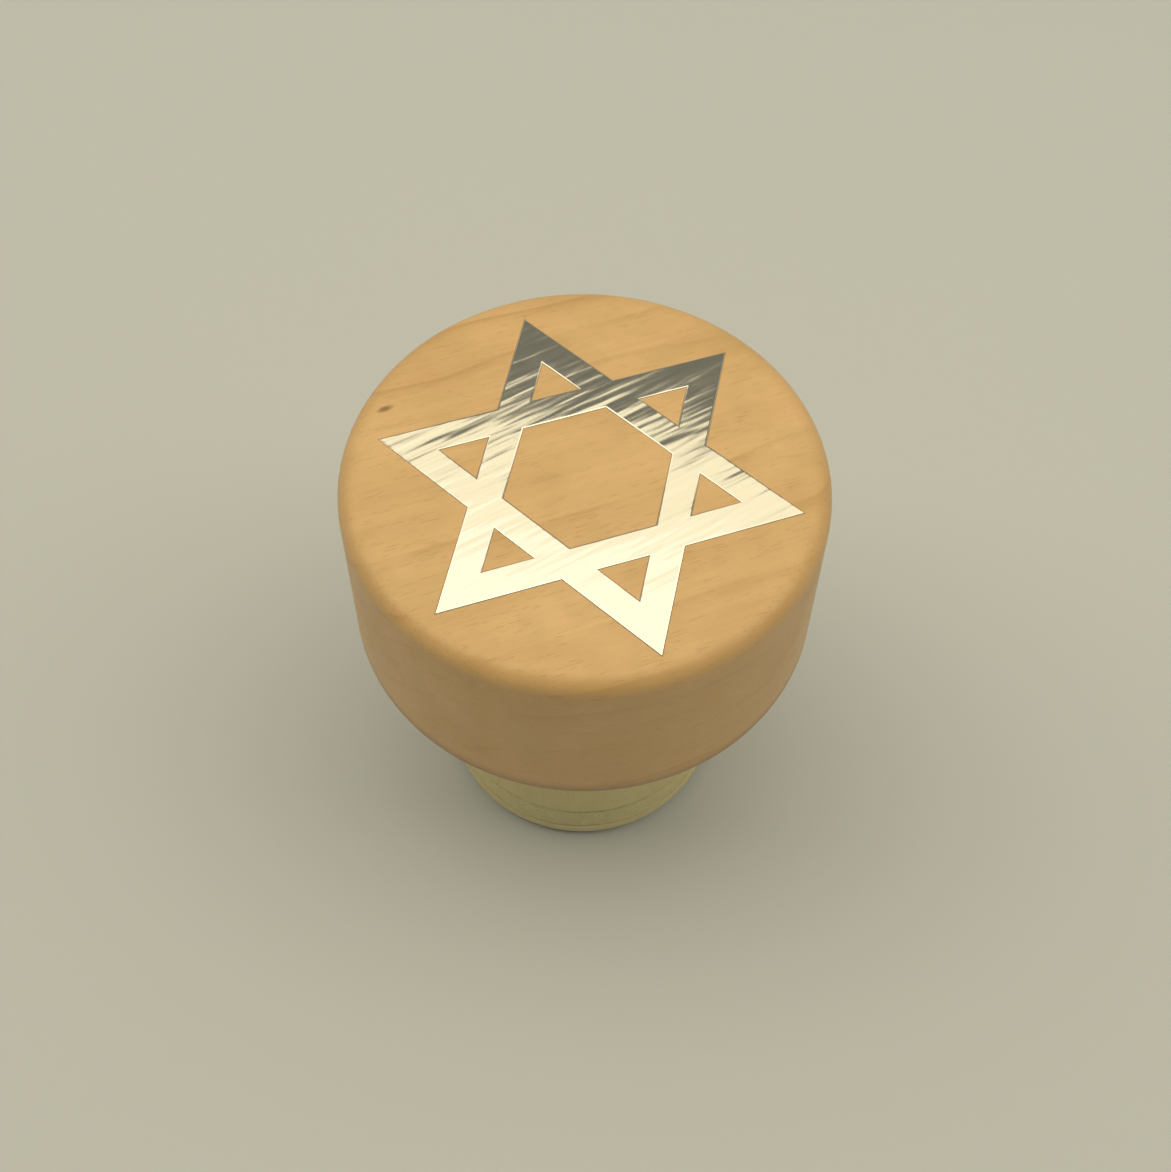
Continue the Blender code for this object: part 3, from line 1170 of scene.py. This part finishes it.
def shaped_by(
    piece: bpy.types.Object, steps: list[tuple[bpy.types.NodeTree, dict[str, object]]]
) -> bpy.types.Object:
    """Run a piece through geometry trees and keep the result as a plain mesh.

    Args:
        piece: the mesh that goes in, and that is removed.
        steps: each tree, with the values of its inputs.

    Returns:
        The new object, with the name of the old one and no modifier.
    """
    for group, values in steps:
        modifier = piece.modifiers.new(group.name, "NODES")
        modifier.node_group = group
        set_inputs(modifier, values)
    graph = bpy.context.evaluated_depsgraph_get()
    mesh = bpy.data.meshes.new_from_object(piece.evaluated_get(graph))
    name = piece.name
    bpy.data.objects.remove(piece, do_unlink=True)
    mesh.name = name
    plain = bpy.data.objects.new(name, mesh)
    bpy.context.scene.collection.objects.link(plain)
    return plain


def geometry_group(
    name: str, sizes: dict[str, object]
) -> tuple[Tree, dict[str, Socket], bpy.types.Node]:
    """Start a geometry tree that takes a mesh, its sizes and a material.

    Args:
        name: the tree's name.
        sizes: the default value of each size.

    Returns:
        The tree, its inputs by name, and its output node.
    """
    inputs = {"Geometry": "NodeSocketGeometry", **sizes, "Material": "NodeSocketMaterial"}
    return new_group(name, "GeometryNodeTree", inputs, {"Geometry": "NodeSocketGeometry"})


def finish_tree(tree: Tree, geometry: Socket, material: Socket, out: bpy.types.Node) -> None:
    """End a geometry tree in Realize Instances and Set Material.

    Args:
        tree: the tree.
        geometry: what it has made.
        material: the material that it sets.
        out: its output node.
    """
    realize = tree.node("GeometryNodeRealizeInstances")
    tree.feed(realize.inputs[0], geometry)
    paint = tree.node("GeometryNodeSetMaterial")
    tree.feed_all(paint, {"Geometry": realize.outputs[0], "Material": material})
    tree.feed(out.inputs["Geometry"], paint.outputs[0])


def sunk_towards_axis(
    tree: Tree, given: dict[str, Socket], place: list[Socket], cut: Socket, chosen: bpy.types.Node
) -> Socket:
    """Move points of a turned surface towards the Z axis.

    Args:
        tree: the tree.
        given: its inputs, Geometry and Surface Radius among them.
        place: the X, Y and Z of each point.
        cut: how far each point moves.
        chosen: the node that picks the points that move.

    Returns:
        The changed geometry.
    """
    x, y, z = place
    share = tree.minus(1.0, tree.over(cut, given["Surface Radius"]))
    moved = tree.join(tree.times(x, share), tree.times(y, share), z)
    values = {"Geometry": given["Geometry"], "Selection": chosen.outputs[0], "Position": moved}
    return tree.feed_all(tree.node("GeometryNodeSetPosition"), values).outputs[0]


def thread_tree() -> bpy.types.NodeTree:
    """Build the tree that cuts a right-hand thread into a turned surface.

    The crests keep the surface's own radius. Only points whose distance from
    the axis is within Tolerance of Surface Radius are moved.

    Returns:
        The tree.
    """
    sizes = {
        "Surface Radius": 0.003,
        "Tolerance": 0.0001,
        "Pitch": 0.001,
        "Depth": 0.0005,
        "Crest Flat": 0.14,
        "Root Flat": 0.22,
        "Start": 0.0,
        "End": 0.01,
        "Runout": 0.001,
    }
    tree, given, out = geometry_group("cut_thread", sizes)
    x, y, z = tree.split(tree.node("GeometryNodeInputPosition").outputs[0])
    turns = tree.over(tree.math("ARCTAN2", y, x), 2 * math.pi)
    phase = tree.math("FRACT", tree.minus(tree.over(z, given["Pitch"]), turns))
    groove = tree.node("ShaderNodeMapRange")
    profile = {
        "Value": tree.times(tree.apart(phase, 0.5), 2.0),
        "From Min": given["Root Flat"],
        "From Max": tree.minus(1.0, given["Crest Flat"]),
        "To Min": 1.0,
        "To Max": 0.0,
    }
    tree.feed_all(groove, profile)
    opening = tree.ramp(z, given["Start"], tree.plus(given["Start"], given["Runout"]))
    closing = tree.ramp(z, tree.minus(given["End"], given["Runout"]), given["End"])
    window = tree.times(opening, tree.minus(1.0, closing))
    cut = tree.times(tree.times(groove.outputs[0], window), given["Depth"])
    near = tree.node("FunctionNodeCompare", data_type="FLOAT", operation="LESS_THAN")
    tree.feed(near.inputs[0], tree.apart(tree.length(x, y), given["Surface Radius"]))
    tree.feed(near.inputs[1], given["Tolerance"])
    threaded = sunk_towards_axis(tree, given, [x, y, z], cut, near)
    finish_tree(tree, threaded, given["Material"], out)
    return tree.tree


def round_axis_tree() -> bpy.types.NodeTree:
    """Build the tree that repeats one sector round an upright axis and welds the copies.

    Returns:
        The tree.
    """
    sizes = {
        "Count": 6,
        "Turn": 0.0,
        "Center X": 0.0,
        "Center Y": 0.0,
        "Weld Distance": 0.000001,
    }
    tree, given, out = geometry_group("repeat_round_axis", sizes)
    points = tree.node("GeometryNodePoints")
    center = tree.join(given["Center X"], given["Center Y"])
    tree.feed_all(points, {"Count": given["Count"], "Position": center})
    index = tree.node("GeometryNodeInputIndex").outputs[0]
    step = tree.over(2 * math.pi, given["Count"])
    turning = tree.node("FunctionNodeEulerToRotation")
    tree.feed(turning.inputs[0], tree.join(z=tree.plus(tree.times(index, step), given["Turn"])))
    copies = tree.node("GeometryNodeInstanceOnPoints")
    rotation = turning.outputs[0]
    placed = {"Points": points.outputs[0], "Instance": given["Geometry"], "Rotation": rotation}
    tree.feed_all(copies, placed)
    plain = tree.node("GeometryNodeRealizeInstances")
    tree.feed(plain.inputs[0], copies.outputs[0])
    weld = tree.node("GeometryNodeMergeByDistance")
    tree.feed_all(weld, {"Geometry": plain.outputs[0], "Distance": given["Weld Distance"]})
    finish_tree(tree, weld.outputs[0], given["Material"], out)
    return tree.tree


def foam_tree() -> bpy.types.NodeTree:
    """Build the tree that opens fine cut cells in the side of a foam disc.

    Returns:
        The tree.
    """
    sizes = {
        "Surface Radius": 0.01,
        "Cell Size": 0.0003,
        "Depth": 0.00008,
        "Bottom": 0.0,
        "Top": 0.002,
        "Side Starts At": 0.97,
    }
    tree, given, out = geometry_group("cut_foam_cells", sizes)
    position = tree.node("GeometryNodeInputPosition").outputs[0]
    x, y, z = tree.split(position)
    cells = tree.node("ShaderNodeTexVoronoi", feature="F1")
    tree.feed_all(cells, {"Vector": position, "Scale": tree.over(1.0, given["Cell Size"])})
    pit = tree.ramp(cells.outputs["Distance"], 0.55, 0.1)
    from_bottom = tree.ramp(z, given["Bottom"], tree.plus(given["Bottom"], given["Cell Size"]))
    from_top = tree.ramp(z, given["Top"], tree.minus(given["Top"], given["Cell Size"]))
    cut = tree.times(tree.times(pit, tree.times(from_bottom, from_top)), given["Depth"])
    outer = tree.node("FunctionNodeCompare", data_type="FLOAT", operation="GREATER_THAN")
    tree.feed(outer.inputs[0], tree.length(x, y))
    tree.feed(outer.inputs[1], tree.times(given["Surface Radius"], given["Side Starts At"]))
    open_cells = sunk_towards_axis(tree, given, [x, y, z], cut, outer)
    finish_tree(tree, open_cells, given["Material"], out)
    return tree.tree


CUT_THREAD = thread_tree()
ROUND_AXIS = round_axis_tree()
FOAM_CELLS = foam_tree()


# ------------------------------------------------------------ sub-assemblies


def film_disc(name: str, node: str, swell: float, seed: int) -> bpy.types.Object:
    """Lay a thin film of adhesive whose rim is squeezed out unevenly.

    Args:
        name: the piece's name.
        node: the CAD node that it stands for.
        swell: how much it grows up and down to meet what it holds.
        seed: shifts the pattern of its rim.

    Returns:
        The film.
    """
    spread, flat_margin = 0.12 * MM, 0.3 * MM
    waves, seed_step, unevenness = 3, 7.3, 0.006
    rim_angle, segments = 60.0, 256
    bottom, top, radius = levels(node)
    low, high = bottom - swell, top + swell
    radius += spread
    half = (high - low) / 2
    shell = Shell(name)
    rim = rounded((radius - half, low + half), half, 90, -90, 8)
    flat_edge = (radius - half - flat_margin, high)
    rings = shell.turned([(0.0, high), flat_edge, *rim, (0.0, low)], segments)
    for vertex in (vertex for ring in rings[2:-1] for vertex in ring):
        angle = math.atan2(vertex.co.y, vertex.co.x)
        place = Vector((waves * math.cos(angle), waves * math.sin(angle), seed_step * seed))
        share = 1 + unevenness * noise.noise(place)
        vertex.co.x *= share
        vertex.co.y *= share
    return shell.finish(rim_angle)


@dataclass
class Knob:
    """The turned wooden head and the foil star in its top."""

    segments: int = 192
    top_round: float = 1.3 * MM
    foot_round: float = 0.6 * MM
    flare: float = 0.25 * MM
    seat_radius: float = 9.3 * MM
    seat_gap: float = 0.13 * MM
    recess_depth: float = 0.2 * MM
    foil_proud: float = 0.045 * MM
    foil_gap: float = 0.01 * MM
    foil_edge: float = 0.09 * MM
    foil_edge_inset: float = 0.13 * MM
    flat_margin: float = 0.05 * MM
    weld_distance: float = 0.002 * MM
    star: StarPattern = StarPattern(13.1 * MM, 1.93 * MM, (0.2 * MM, -0.4 * MM))
    wood: HoneyWood = HoneyWood()
    foil: SilverFoil = SilverFoil()

    def build(self) -> None:
        """Build and dress the head and its foil."""
        dress(self.head(), self.wood.material(), "head", "honey_wood", "handle_head")
        dress(self.foil_star(), self.foil.material(), "head", "silver_foil", "star_foil")

    def head(self) -> bpy.types.Object:
        """Turn the head.

        Returns:
            The head, with its star recess, washer seat and insert hole.
        """
        bottom, top, foot = levels("handle_head")
        insert_bottom, insert_top, insert_radius = levels("threaded_insert")
        side = foot - self.flare
        hole = insert_radius + HAIRLINE
        seat = insert_bottom - self.seat_gap
        top_center = (side - self.top_round, top - self.top_round)
        foot_center = (foot - self.foot_round, bottom + self.foot_round)
        shell = Shell("turned_head")
        top_arc = rounded(top_center, self.top_round, 90, 0, 14)
        foot_arc = rounded(foot_center, self.foot_round, 0, -90, 8)
        profile = [
            (top_center[0] - self.flat_margin, top),
            *top_arc,
            *straight(top_arc[-1], foot_arc[0], 12)[1:-1],
            *foot_arc,
            (self.seat_radius, bottom),
            (self.seat_radius, seat),
            (hole, seat),
            (hole, insert_top + HAIRLINE),
            (0.0, insert_top + HAIRLINE),
        ]
        rim = shell.turned(profile, self.segments)[0]
        recess = [StarStep(-self.foil_gap, top), StarStep(-self.foil_gap, top - self.recess_depth)]
        shell.face_with_star(rim, self.star, recess)
        return shell.finish()

    def foil_sector(self) -> bpy.types.Object:
        """Cut one point of the foil star.

        The star's centre is at the origin here, and the tip points along +X.

        Returns:
            The sector, open where it meets its neighbours.
        """
        top = levels("handle_head")[1] + self.foil_proud
        bottom = top - self.foil_proud - self.recess_depth + HAIRLINE
        edge = rounded((self.foil_edge, top - self.foil_edge), self.foil_edge, 180, 90, 5)
        steps = [StarStep(0.0, bottom)]
        steps += [StarStep(inset, height) for inset, height in edge]
        steps.append(StarStep(self.foil_edge_inset, top))
        shell = Shell("foil_star")
        half = math.pi / self.star.points
        middle = StarPattern(self.star.tip_radius, self.star.band, turn=0.0)
        bars, holes = [], []
        for step in steps:
            shape = middle.inset(step.inset)
            notch, hexagon, hole_tip, hole_base, spread = shape.radii()
            bar = [shape.polar(notch, -half), (shape.tip_radius, 0.0), shape.polar(notch, half)]
            inner = [shape.polar(hexagon, half), shape.polar(hexagon, -half)]
            base_corners = shape.polar(hole_base, -spread), shape.polar(hole_base, spread)
            hole = [base_corners[0], (hole_tip, 0.0), base_corners[1]]
            bars.append(shell.outline(bar + inner, step.height))
            holes.append(shell.outline(hole, step.height))
        for lower, upper in zip(bars, bars[1:]):
            for first, second in ((0, 1), (1, 2), (3, 4)):
                shell.mesh.faces.new((lower[first], lower[second], upper[second], upper[first]))
        for lower, upper in zip(holes, holes[1:]):
            shell.bridge(lower, upper)
        for end in (0, -1):
            shell.fill(bars[end], holes[end])
        return shell.finish()

    def foil_star(self) -> bpy.types.Object:
        """Weld six sectors into the foil star.

        Returns:
            The star.
        """
        center_x, center_y = self.star.center
        values = {
            "Count": self.star.points,
            "Turn": self.star.turn,
            "Center X": center_x,
            "Center Y": center_y,
            "Weld Distance": self.weld_distance,
        }
        return cleaned(shaped_by(self.foil_sector(), [(ROUND_AXIS, values)]))


@dataclass
class ScrewJoint:
    """The steel stud, the brass insert that it screws into and the washer between."""

    segments: int = 72
    rows_per_mm: int = 16
    pitch: float = 1.0 * MM
    thread_depth: float = 0.5 * MM
    play: float = 0.06 * MM
    wood_pitch: float = 2.0 * MM
    wood_depth: float = 0.75 * MM
    shank_length: float = 1.4 * MM
    point_length: float = 3.0 * MM
    point_radius: float = 0.8 * MM
    chamfer: float = 0.5 * MM
    grip_pitch: float = 1.6 * MM
    grip_depth: float = 0.42 * MM
    driver_slot: float = 1.2 * MM
    washer_swell: float = 0.13 * MM
    washer_lip: float = 0.2 * MM
    cut_tolerance: float = 0.02 * MM
    steel: MachinedMetal = MachinedMetal(
        "stud_steel", (0.60, 0.60, 0.585), (0.42, 0.40, 0.36), 0.24
    )
    brass: MachinedMetal = MachinedMetal(
        "insert_brass", (0.80, 0.56, 0.22), (0.42, 0.25, 0.09), 0.22
    )
    fibre: FibreBoard = FibreBoard()

    def build(self) -> None:
        """Build and dress the stud, the insert and the washer."""
        dress(self.stud(), self.steel.material(), "stem", "stud_steel", "hanger_stud")
        dress(self.insert(), self.brass.material(), "head", "insert_brass", "threaded_insert")
        dress(self.washer(), self.fibre.material(), "washer", "washer_fibre", "friction_washer")

    def rows(self, start: Point2, end: Point2) -> list[Point2]:
        """Return a straight run of a profile, fine enough to take a thread."""
        length = math.hypot(end[0] - start[0], end[1] - start[1])
        return straight(start, end, max(1, round(length / MM * self.rows_per_mm)))

    def stud(self) -> bpy.types.Object:
        """Turn the stud and cut its threads.

        Returns:
            The stud: a machine thread above its shank and a wood thread below.
        """
        bottom, top, radius = levels("hanger_stud")
        shoulder = levels("stem")[1]
        shell = Shell("steel_stud")
        profile = [
            (0.0, top),
            *self.rows((radius - self.chamfer, top), (radius, top - self.chamfer)),
            *self.rows((radius, top - self.chamfer), (radius, bottom + self.point_length))[1:],
            *self.rows((radius, bottom + self.point_length), (self.point_radius, bottom))[1:],
            (0.0, bottom),
        ]
        shell.turned(profile, self.segments)
        machine = {
            "Surface Radius": radius,
            "Tolerance": radius,
            "Pitch": self.pitch,
            "Depth": self.thread_depth,
            "Start": shoulder - self.shank_length,
            "End": top + self.pitch,
            "Runout": 0.8 * self.pitch,
        }
        wood = {
            "Surface Radius": radius,
            "Tolerance": radius,
            "Pitch": self.wood_pitch,
            "Depth": self.wood_depth,
            "Crest Flat": 0.06,
            "Root Flat": 0.45,
            "Start": bottom - self.wood_pitch,
            "End": shoulder - 2 * self.shank_length,
            "Runout": 0.5 * self.wood_pitch,
        }
        return cleaned(shaped_by(shell.finish(), [(CUT_THREAD, machine), (CUT_THREAD, wood)]))

    def insert(self) -> bpy.types.Object:
        """Turn the insert and cut its threads.

        Returns:
            The insert, threaded inside and out, with a slot for its driver.
        """
        bottom, top, radius = levels("threaded_insert")
        bore = levels("hanger_stud")[2] + self.play
        shell = Shell("brass_insert")
        profile = [
            *self.rows((radius, top - self.chamfer / 2), (radius, bottom + self.chamfer / 2)),
            (radius - self.chamfer / 2, bottom),
            *self.rows((bore, bottom), (bore, top)),
            (radius - self.chamfer / 2, top),
        ]
        shell.turned(profile, self.segments, closed=True)
        inside = {
            "Surface Radius": bore,
            "Tolerance": self.cut_tolerance,
            "Pitch": self.pitch,
            "Depth": self.thread_depth,
            "Start": bottom - self.pitch,
            "End": top + self.pitch,
            "Runout": 0.8 * self.pitch,
        }
        outside = {
            "Surface Radius": radius,
            "Tolerance": self.cut_tolerance,
            "Pitch": self.grip_pitch,
            "Depth": self.grip_depth,
            "Crest Flat": 0.1,
            "Root Flat": 0.4,
            "Start": bottom - self.grip_pitch,
            "End": top + self.grip_pitch,
            "Runout": 0.5 * self.grip_pitch,
        }
        insert = shaped_by(shell.finish(), [(CUT_THREAD, inside), (CUT_THREAD, outside)])
        return cleaned(self.slotted(insert, bottom, radius))

    def slotted(self, insert: bpy.types.Object, bottom: float, radius: float) -> bpy.types.Object:
        """Cut the driver slot across the insert's lower end.

        Args:
            insert: the threaded insert.
            bottom: the height of its lower end.
            radius: its outer radius.

        Returns:
            The insert with its slot, as a plain mesh.
        """
        slot = Shell("driver_slot")
        bmesh.ops.create_cube(slot.mesh, size=1.0)
        size = (3 * radius, self.driver_slot, 2 * self.driver_slot)
        bmesh.ops.scale(slot.mesh, verts=slot.mesh.verts, vec=size)
        bmesh.ops.translate(slot.mesh, verts=slot.mesh.verts, vec=(0.0, 0.0, bottom))
        cutter = slot.finish()
        boolean = insert.modifiers.new("driver_slot", "BOOLEAN")
        boolean.operation = "DIFFERENCE"
        boolean.solver = "EXACT"
        boolean.object = cutter
        slotted = shaped_by(insert, [])
        bpy.data.objects.remove(cutter, do_unlink=True)
        return slotted

    def washer(self) -> bpy.types.Object:
        """Cut the washer.

        Returns:
            The washer, pressed out to fill its seat.
        """
        bottom, top, radius = levels("friction_washer")
        low, high = bottom - self.washer_swell, top + self.washer_swell
        bore = levels("hanger_stud")[2] + 2 * self.play
        lip = self.washer_lip
        shell = Shell("fibre_washer")
        profile = [
            *rounded((radius - lip, high - lip), lip, 90, 0, 5),
            *rounded((radius - lip, low + lip), lip, 0, -90, 5),
            *rounded((bore + lip / 2, low + lip / 2), lip / 2, 270, 180, 4),
            *rounded((bore + lip / 2, high - lip / 2), lip / 2, 180, 90, 4),
        ]
        shell.turned(profile, 2 * self.segments, closed=True)
        return shell.finish()


@dataclass
class Stem:
    """The turned stem and the film of adhesive under it."""

    segments: int = 128
    edge: float = 0.3 * MM
    top_rise: float = 0.13 * MM
    bore_play: float = 0.05 * MM
    bore_point_length: float = 3.0 * MM
    bore_point_radius: float = 1.0 * MM
    film_swell: float = 0.04 * MM
    wood: PaleWood = PaleWood()

    def build(self, film: bpy.types.Material) -> None:
        """Build and dress the stem and its film.

        Args:
            film: the finish of the adhesive film.
        """
        dress(self.stem(), self.wood.material(), "stem", "pale_wood", "stem")
        upper = film_disc("upper_film", "cushion_adhesive", self.film_swell, 1)
        dress(upper, film, "stem", "adhesive_film", "cushion_adhesive")

    def stem(self) -> bpy.types.Object:
        """Turn the stem.

        Returns:
            The stem, with the hole that the stud is screwed into.
        """
        bottom, top, radius = levels("stem")
        stud_bottom, _, stud_radius = levels("hanger_stud")
        top += self.top_rise
        bore = stud_radius + self.bore_play
        shell = Shell("turned_stem")
        profile = [
            (0.0, stud_bottom - HAIRLINE),
            (self.bore_point_radius, stud_bottom - HAIRLINE),
            (bore, stud_bottom + self.bore_point_length),
            (bore, top),
            *rounded((radius - self.edge, top - self.edge), self.edge, 90, 0, 6),
            *straight((radius, top - self.edge), (radius, bottom + self.edge), 24)[1:-1],
            *rounded((radius - self.edge, bottom + self.edge), self.edge, 0, -90, 6),
            (0.0, bottom),
        ]
        shell.turned(profile, self.segments)
        return shell.finish()


@dataclass
class PrintingPad:
    """The foam cushion, its lower film and the moulded rubber die."""

    segments: int = 256
    cushion_rows: int = 36
    cushion_swell: float = 0.04 * MM
    cushion_bulge: float = 0.05 * MM
    cushion_fullness: float = 0.7
    cushion_sharp_angle: float = 50.0
    film_swell: float = 0.04 * MM
    backing_thickness: float = 0.8 * MM
    backing_round: float = 0.08 * MM
    flank: float = 0.16 * MM
    flank_height: float = 0.12 * MM
    face_edge: float = 0.06 * MM
    star: StarPattern = StarPattern(9.15 * MM, 1.3 * MM)
    foam: CushionFoam = CushionFoam()
    rubber: DieRubber = DieRubber()

    def build(self, film: bpy.types.Material) -> None:
        """Build and dress the cushion, the film and the die.

        Args:
            film: the finish of the adhesive film.
        """
        cushion = self.cushion()
        dress(cushion, self.foam.material(), "stem", "cushion_foam", "foam_cushion")
        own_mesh(cushion)
        lower = film_disc("lower_film", "die_adhesive", self.film_swell, 2)
        dress(lower, film, "die", "adhesive_film", "die_adhesive")
        dress(self.die(), self.rubber.material(), "die", "die_rubber", "rubber_die")

    def cushion_levels(self) -> tuple[float, float, float]:
        """Return the lowest height, the highest height and the radius of the cushion."""
        low, high, radius = levels("foam_cushion")
        return low - self.cushion_swell, high + self.cushion_swell, radius

    def cushion(self) -> bpy.types.Object:
        """Cut the cushion: foam that swells a little between its two films.

        Returns:
            The cushion, with cut cells in its side.
        """
        low, high, radius = self.cushion_levels()
        shell = Shell("foam_pad")
        side = []
        for step in range(self.cushion_rows + 1):
            share = step / self.cushion_rows
            swell = math.sin(math.pi * share) ** self.cushion_fullness * self.cushion_bulge
            side.append((radius - self.cushion_bulge / 2 + swell, high + (low - high) * share))
        shell.turned([(0.0, high), *side, (0.0, low)], 2 * self.segments)
        cells = {"Surface Radius": radius, "Bottom": low, "Top": high}
        foam = shaped_by(shell.finish(), [(FOAM_CELLS, cells)])
        return cleaned(foam, self.cushion_sharp_angle)

    def die(self) -> bpy.types.Object:
        """Mould the die.

        Returns:
            The die: a round backing with the star standing out under it.
        """
        face, top, radius = levels("rubber_die")
        backing = top - self.backing_thickness
        edge = self.backing_round
        shell = Shell("gum_die")
        profile = [
            (0.0, top),
            *rounded((radius - edge, top - edge), edge, 90, 0, 5),
            *rounded((radius - edge, backing + edge), edge, 0, -90, 5),
            (radius - 2 * edge, backing),
        ]
        rim = shell.turned(profile, self.segments)[-1]
        steps = [
            StarStep(-self.flank, backing),
            StarStep(-self.flank / 2, backing - self.flank_height),
            StarStep(0.0, face + self.face_edge),
            StarStep(self.face_edge / 3, face + self.face_edge / 3),
            StarStep(self.face_edge, face),
        ]
        shell.face_with_star(rim, self.star, steps)
        return shell.finish()


# ------------------------------------------------------------------- studio


@dataclass(frozen=True)
class SoftLight:
    """A flat soft light that faces the floor, from a near to a far edge along Y."""

    name: str
    near: float
    far: float
    glow: Color
    width: float = 1.3

    def hang(self, height: float, yaw: float) -> None:
        """Hang the light over the stamp.

        Args:
            height: how far it is above the floor.
            yaw: its turn about the Z axis.
        """
        lamp = bpy.data.lights.new(self.name, "AREA")
        lamp.shape = "RECTANGLE"
        lamp.size, lamp.size_y = self.width, self.far - self.near
        lamp.energy = math.pi * lamp.size * lamp.size_y
        lamp.color = self.glow
        light = bpy.data.objects.new(self.name, lamp)
        middle = Vector((0.0, (self.near + self.far) / 2, height))
        light.location = Matrix.Rotation(yaw, 3, "Z") @ middle
        light.rotation_euler = (0.0, 0.0, yaw)
        bpy.context.scene.collection.objects.link(light)


@dataclass
class Studio:
    """The floor, the lights and the camera."""

    floor_size: float = 1.6
    finish: PaleFloor = PaleFloor()
    world: Color = (0.162, 0.152, 0.112)
    glow: Color = (0.42, 0.42, 0.34)
    glow_top: float = 0.68
    glow_bottom: float = 0.15
    glow_in_front: float = 0.3
    backdrop: Color = (0.53, 0.51, 0.43)
    panel_height: float = 0.42
    panel_yaw: float = math.radians(-6.0)
    panels: tuple[SoftLight, ...] = (
        SoftLight("overhead", -0.14, 0.12, (1.82, 1.58, 1.12)),
        SoftLight("behind", 0.12, 0.255, (1.03, 0.92, 0.68)),
        SoftLight("behind_edge", 0.255, 0.309, (0.88, 0.76, 0.49)),
    )
    head_radius: float = 15.0 * MM
    camera_distance: float = 6.035  # in head radii
    camera_elevation: float = 53.5
    camera_roll: float = -0.014
    lens_length: float = 46.06  # in millimetres, as the sensor is
    sensor_size: float = 36.0
    aim_right: float = -0.0002  # the slopes by which the camera looks past the head
    aim_up: float = 0.0771

    def build(self) -> None:
        """Build the floor, the lights and the camera."""
        self.floor()
        self.lights()
        self.camera()

    def floor(self) -> None:
        """Lay the plain pale floor."""
        shell = Shell("studio_floor")
        half = self.floor_size / 2
        corners = shell.outline([(-half, -half), (half, -half), (half, half), (-half, half)], 0.0)
        shell.mesh.faces.new(corners)
        piece = shell.finish()
        if piece.data.polygons[0].normal.z < 0:
            piece.data.flip_normals()
        piece.data.materials.append(self.finish.material())

    def lights(self) -> None:
        """Hang the soft lights and set the dim warm room round them."""
        room = bpy.data.worlds.new("room")
        room.use_nodes = True
        tree = Tree(room.node_tree)
        _, y, z = tree.split(tree.node("ShaderNodeTexCoord").outputs["Generated"])
        low = tree.ramp(z, self.glow_top, self.glow_bottom)
        behind = tree.times(tree.ramp(y, -0.5, 0.5), 1.0 - self.glow_in_front)
        strength = tree.times(low, tree.plus(self.glow_in_front, behind))
        mirrored = tree.mix(strength, self.world, self.glow)
        seen = tree.node("ShaderNodeLightPath").outputs["Is Camera Ray"]
        color = tree.mix(seen, mirrored, self.backdrop)
        tree.feed(room.node_tree.nodes["Background"].inputs["Color"], color)
        bpy.context.scene.world = room
        for panel in self.panels:
            panel.hang(self.panel_height, self.panel_yaw)
        bpy.context.scene.view_settings.view_transform = "Standard"

    def camera(self) -> None:
        """Place the camera over the front edge of the head."""
        _, top, _ = levels("handle_head")
        lean = math.radians(self.camera_elevation)
        back = Vector((0.0, -math.cos(lean), math.sin(lean)))
        right = Vector((1.0, 0.0, 0.0))
        upward = back.cross(right)
        looking = Matrix((right, upward, back))
        cosine, sine = math.cos(self.camera_roll), math.sin(self.camera_roll)
        roll = Matrix(((cosine, -sine, 0.0), (sine, cosine, 0.0), (0.0, 0.0, 1.0)))
        aim = Vector((self.aim_right, self.aim_up, -1.0))
        swing = Vector((0.0, 0.0, -1.0)).rotation_difference(aim).to_matrix()
        turned = (swing @ roll @ looking).transposed()
        lens = bpy.data.cameras.new("camera")
        lens.sensor_width = self.sensor_size
        lens.lens = self.lens_length
        lens.clip_start = 0.001
        view = bpy.data.objects.new("camera", lens)
        place = Vector((0.0, 0.0, top)) + self.head_radius * self.camera_distance * back
        view.matrix_world = Matrix.Translation(place) @ turned.to_4x4()
        bpy.context.scene.collection.objects.link(view)
        bpy.context.scene.camera = view


def main() -> None:
    """Build the stamp from its knob down, then the studio round it."""
    logging.basicConfig(level=logging.INFO, format="%(name)s: %(message)s")
    Studio().build()
    Knob().build()
    ScrewJoint().build()
    film = AdhesiveFilm().material()
    Stem().build(film)
    PrintingPad().build(film)


if __name__ == "__main__":
    main()
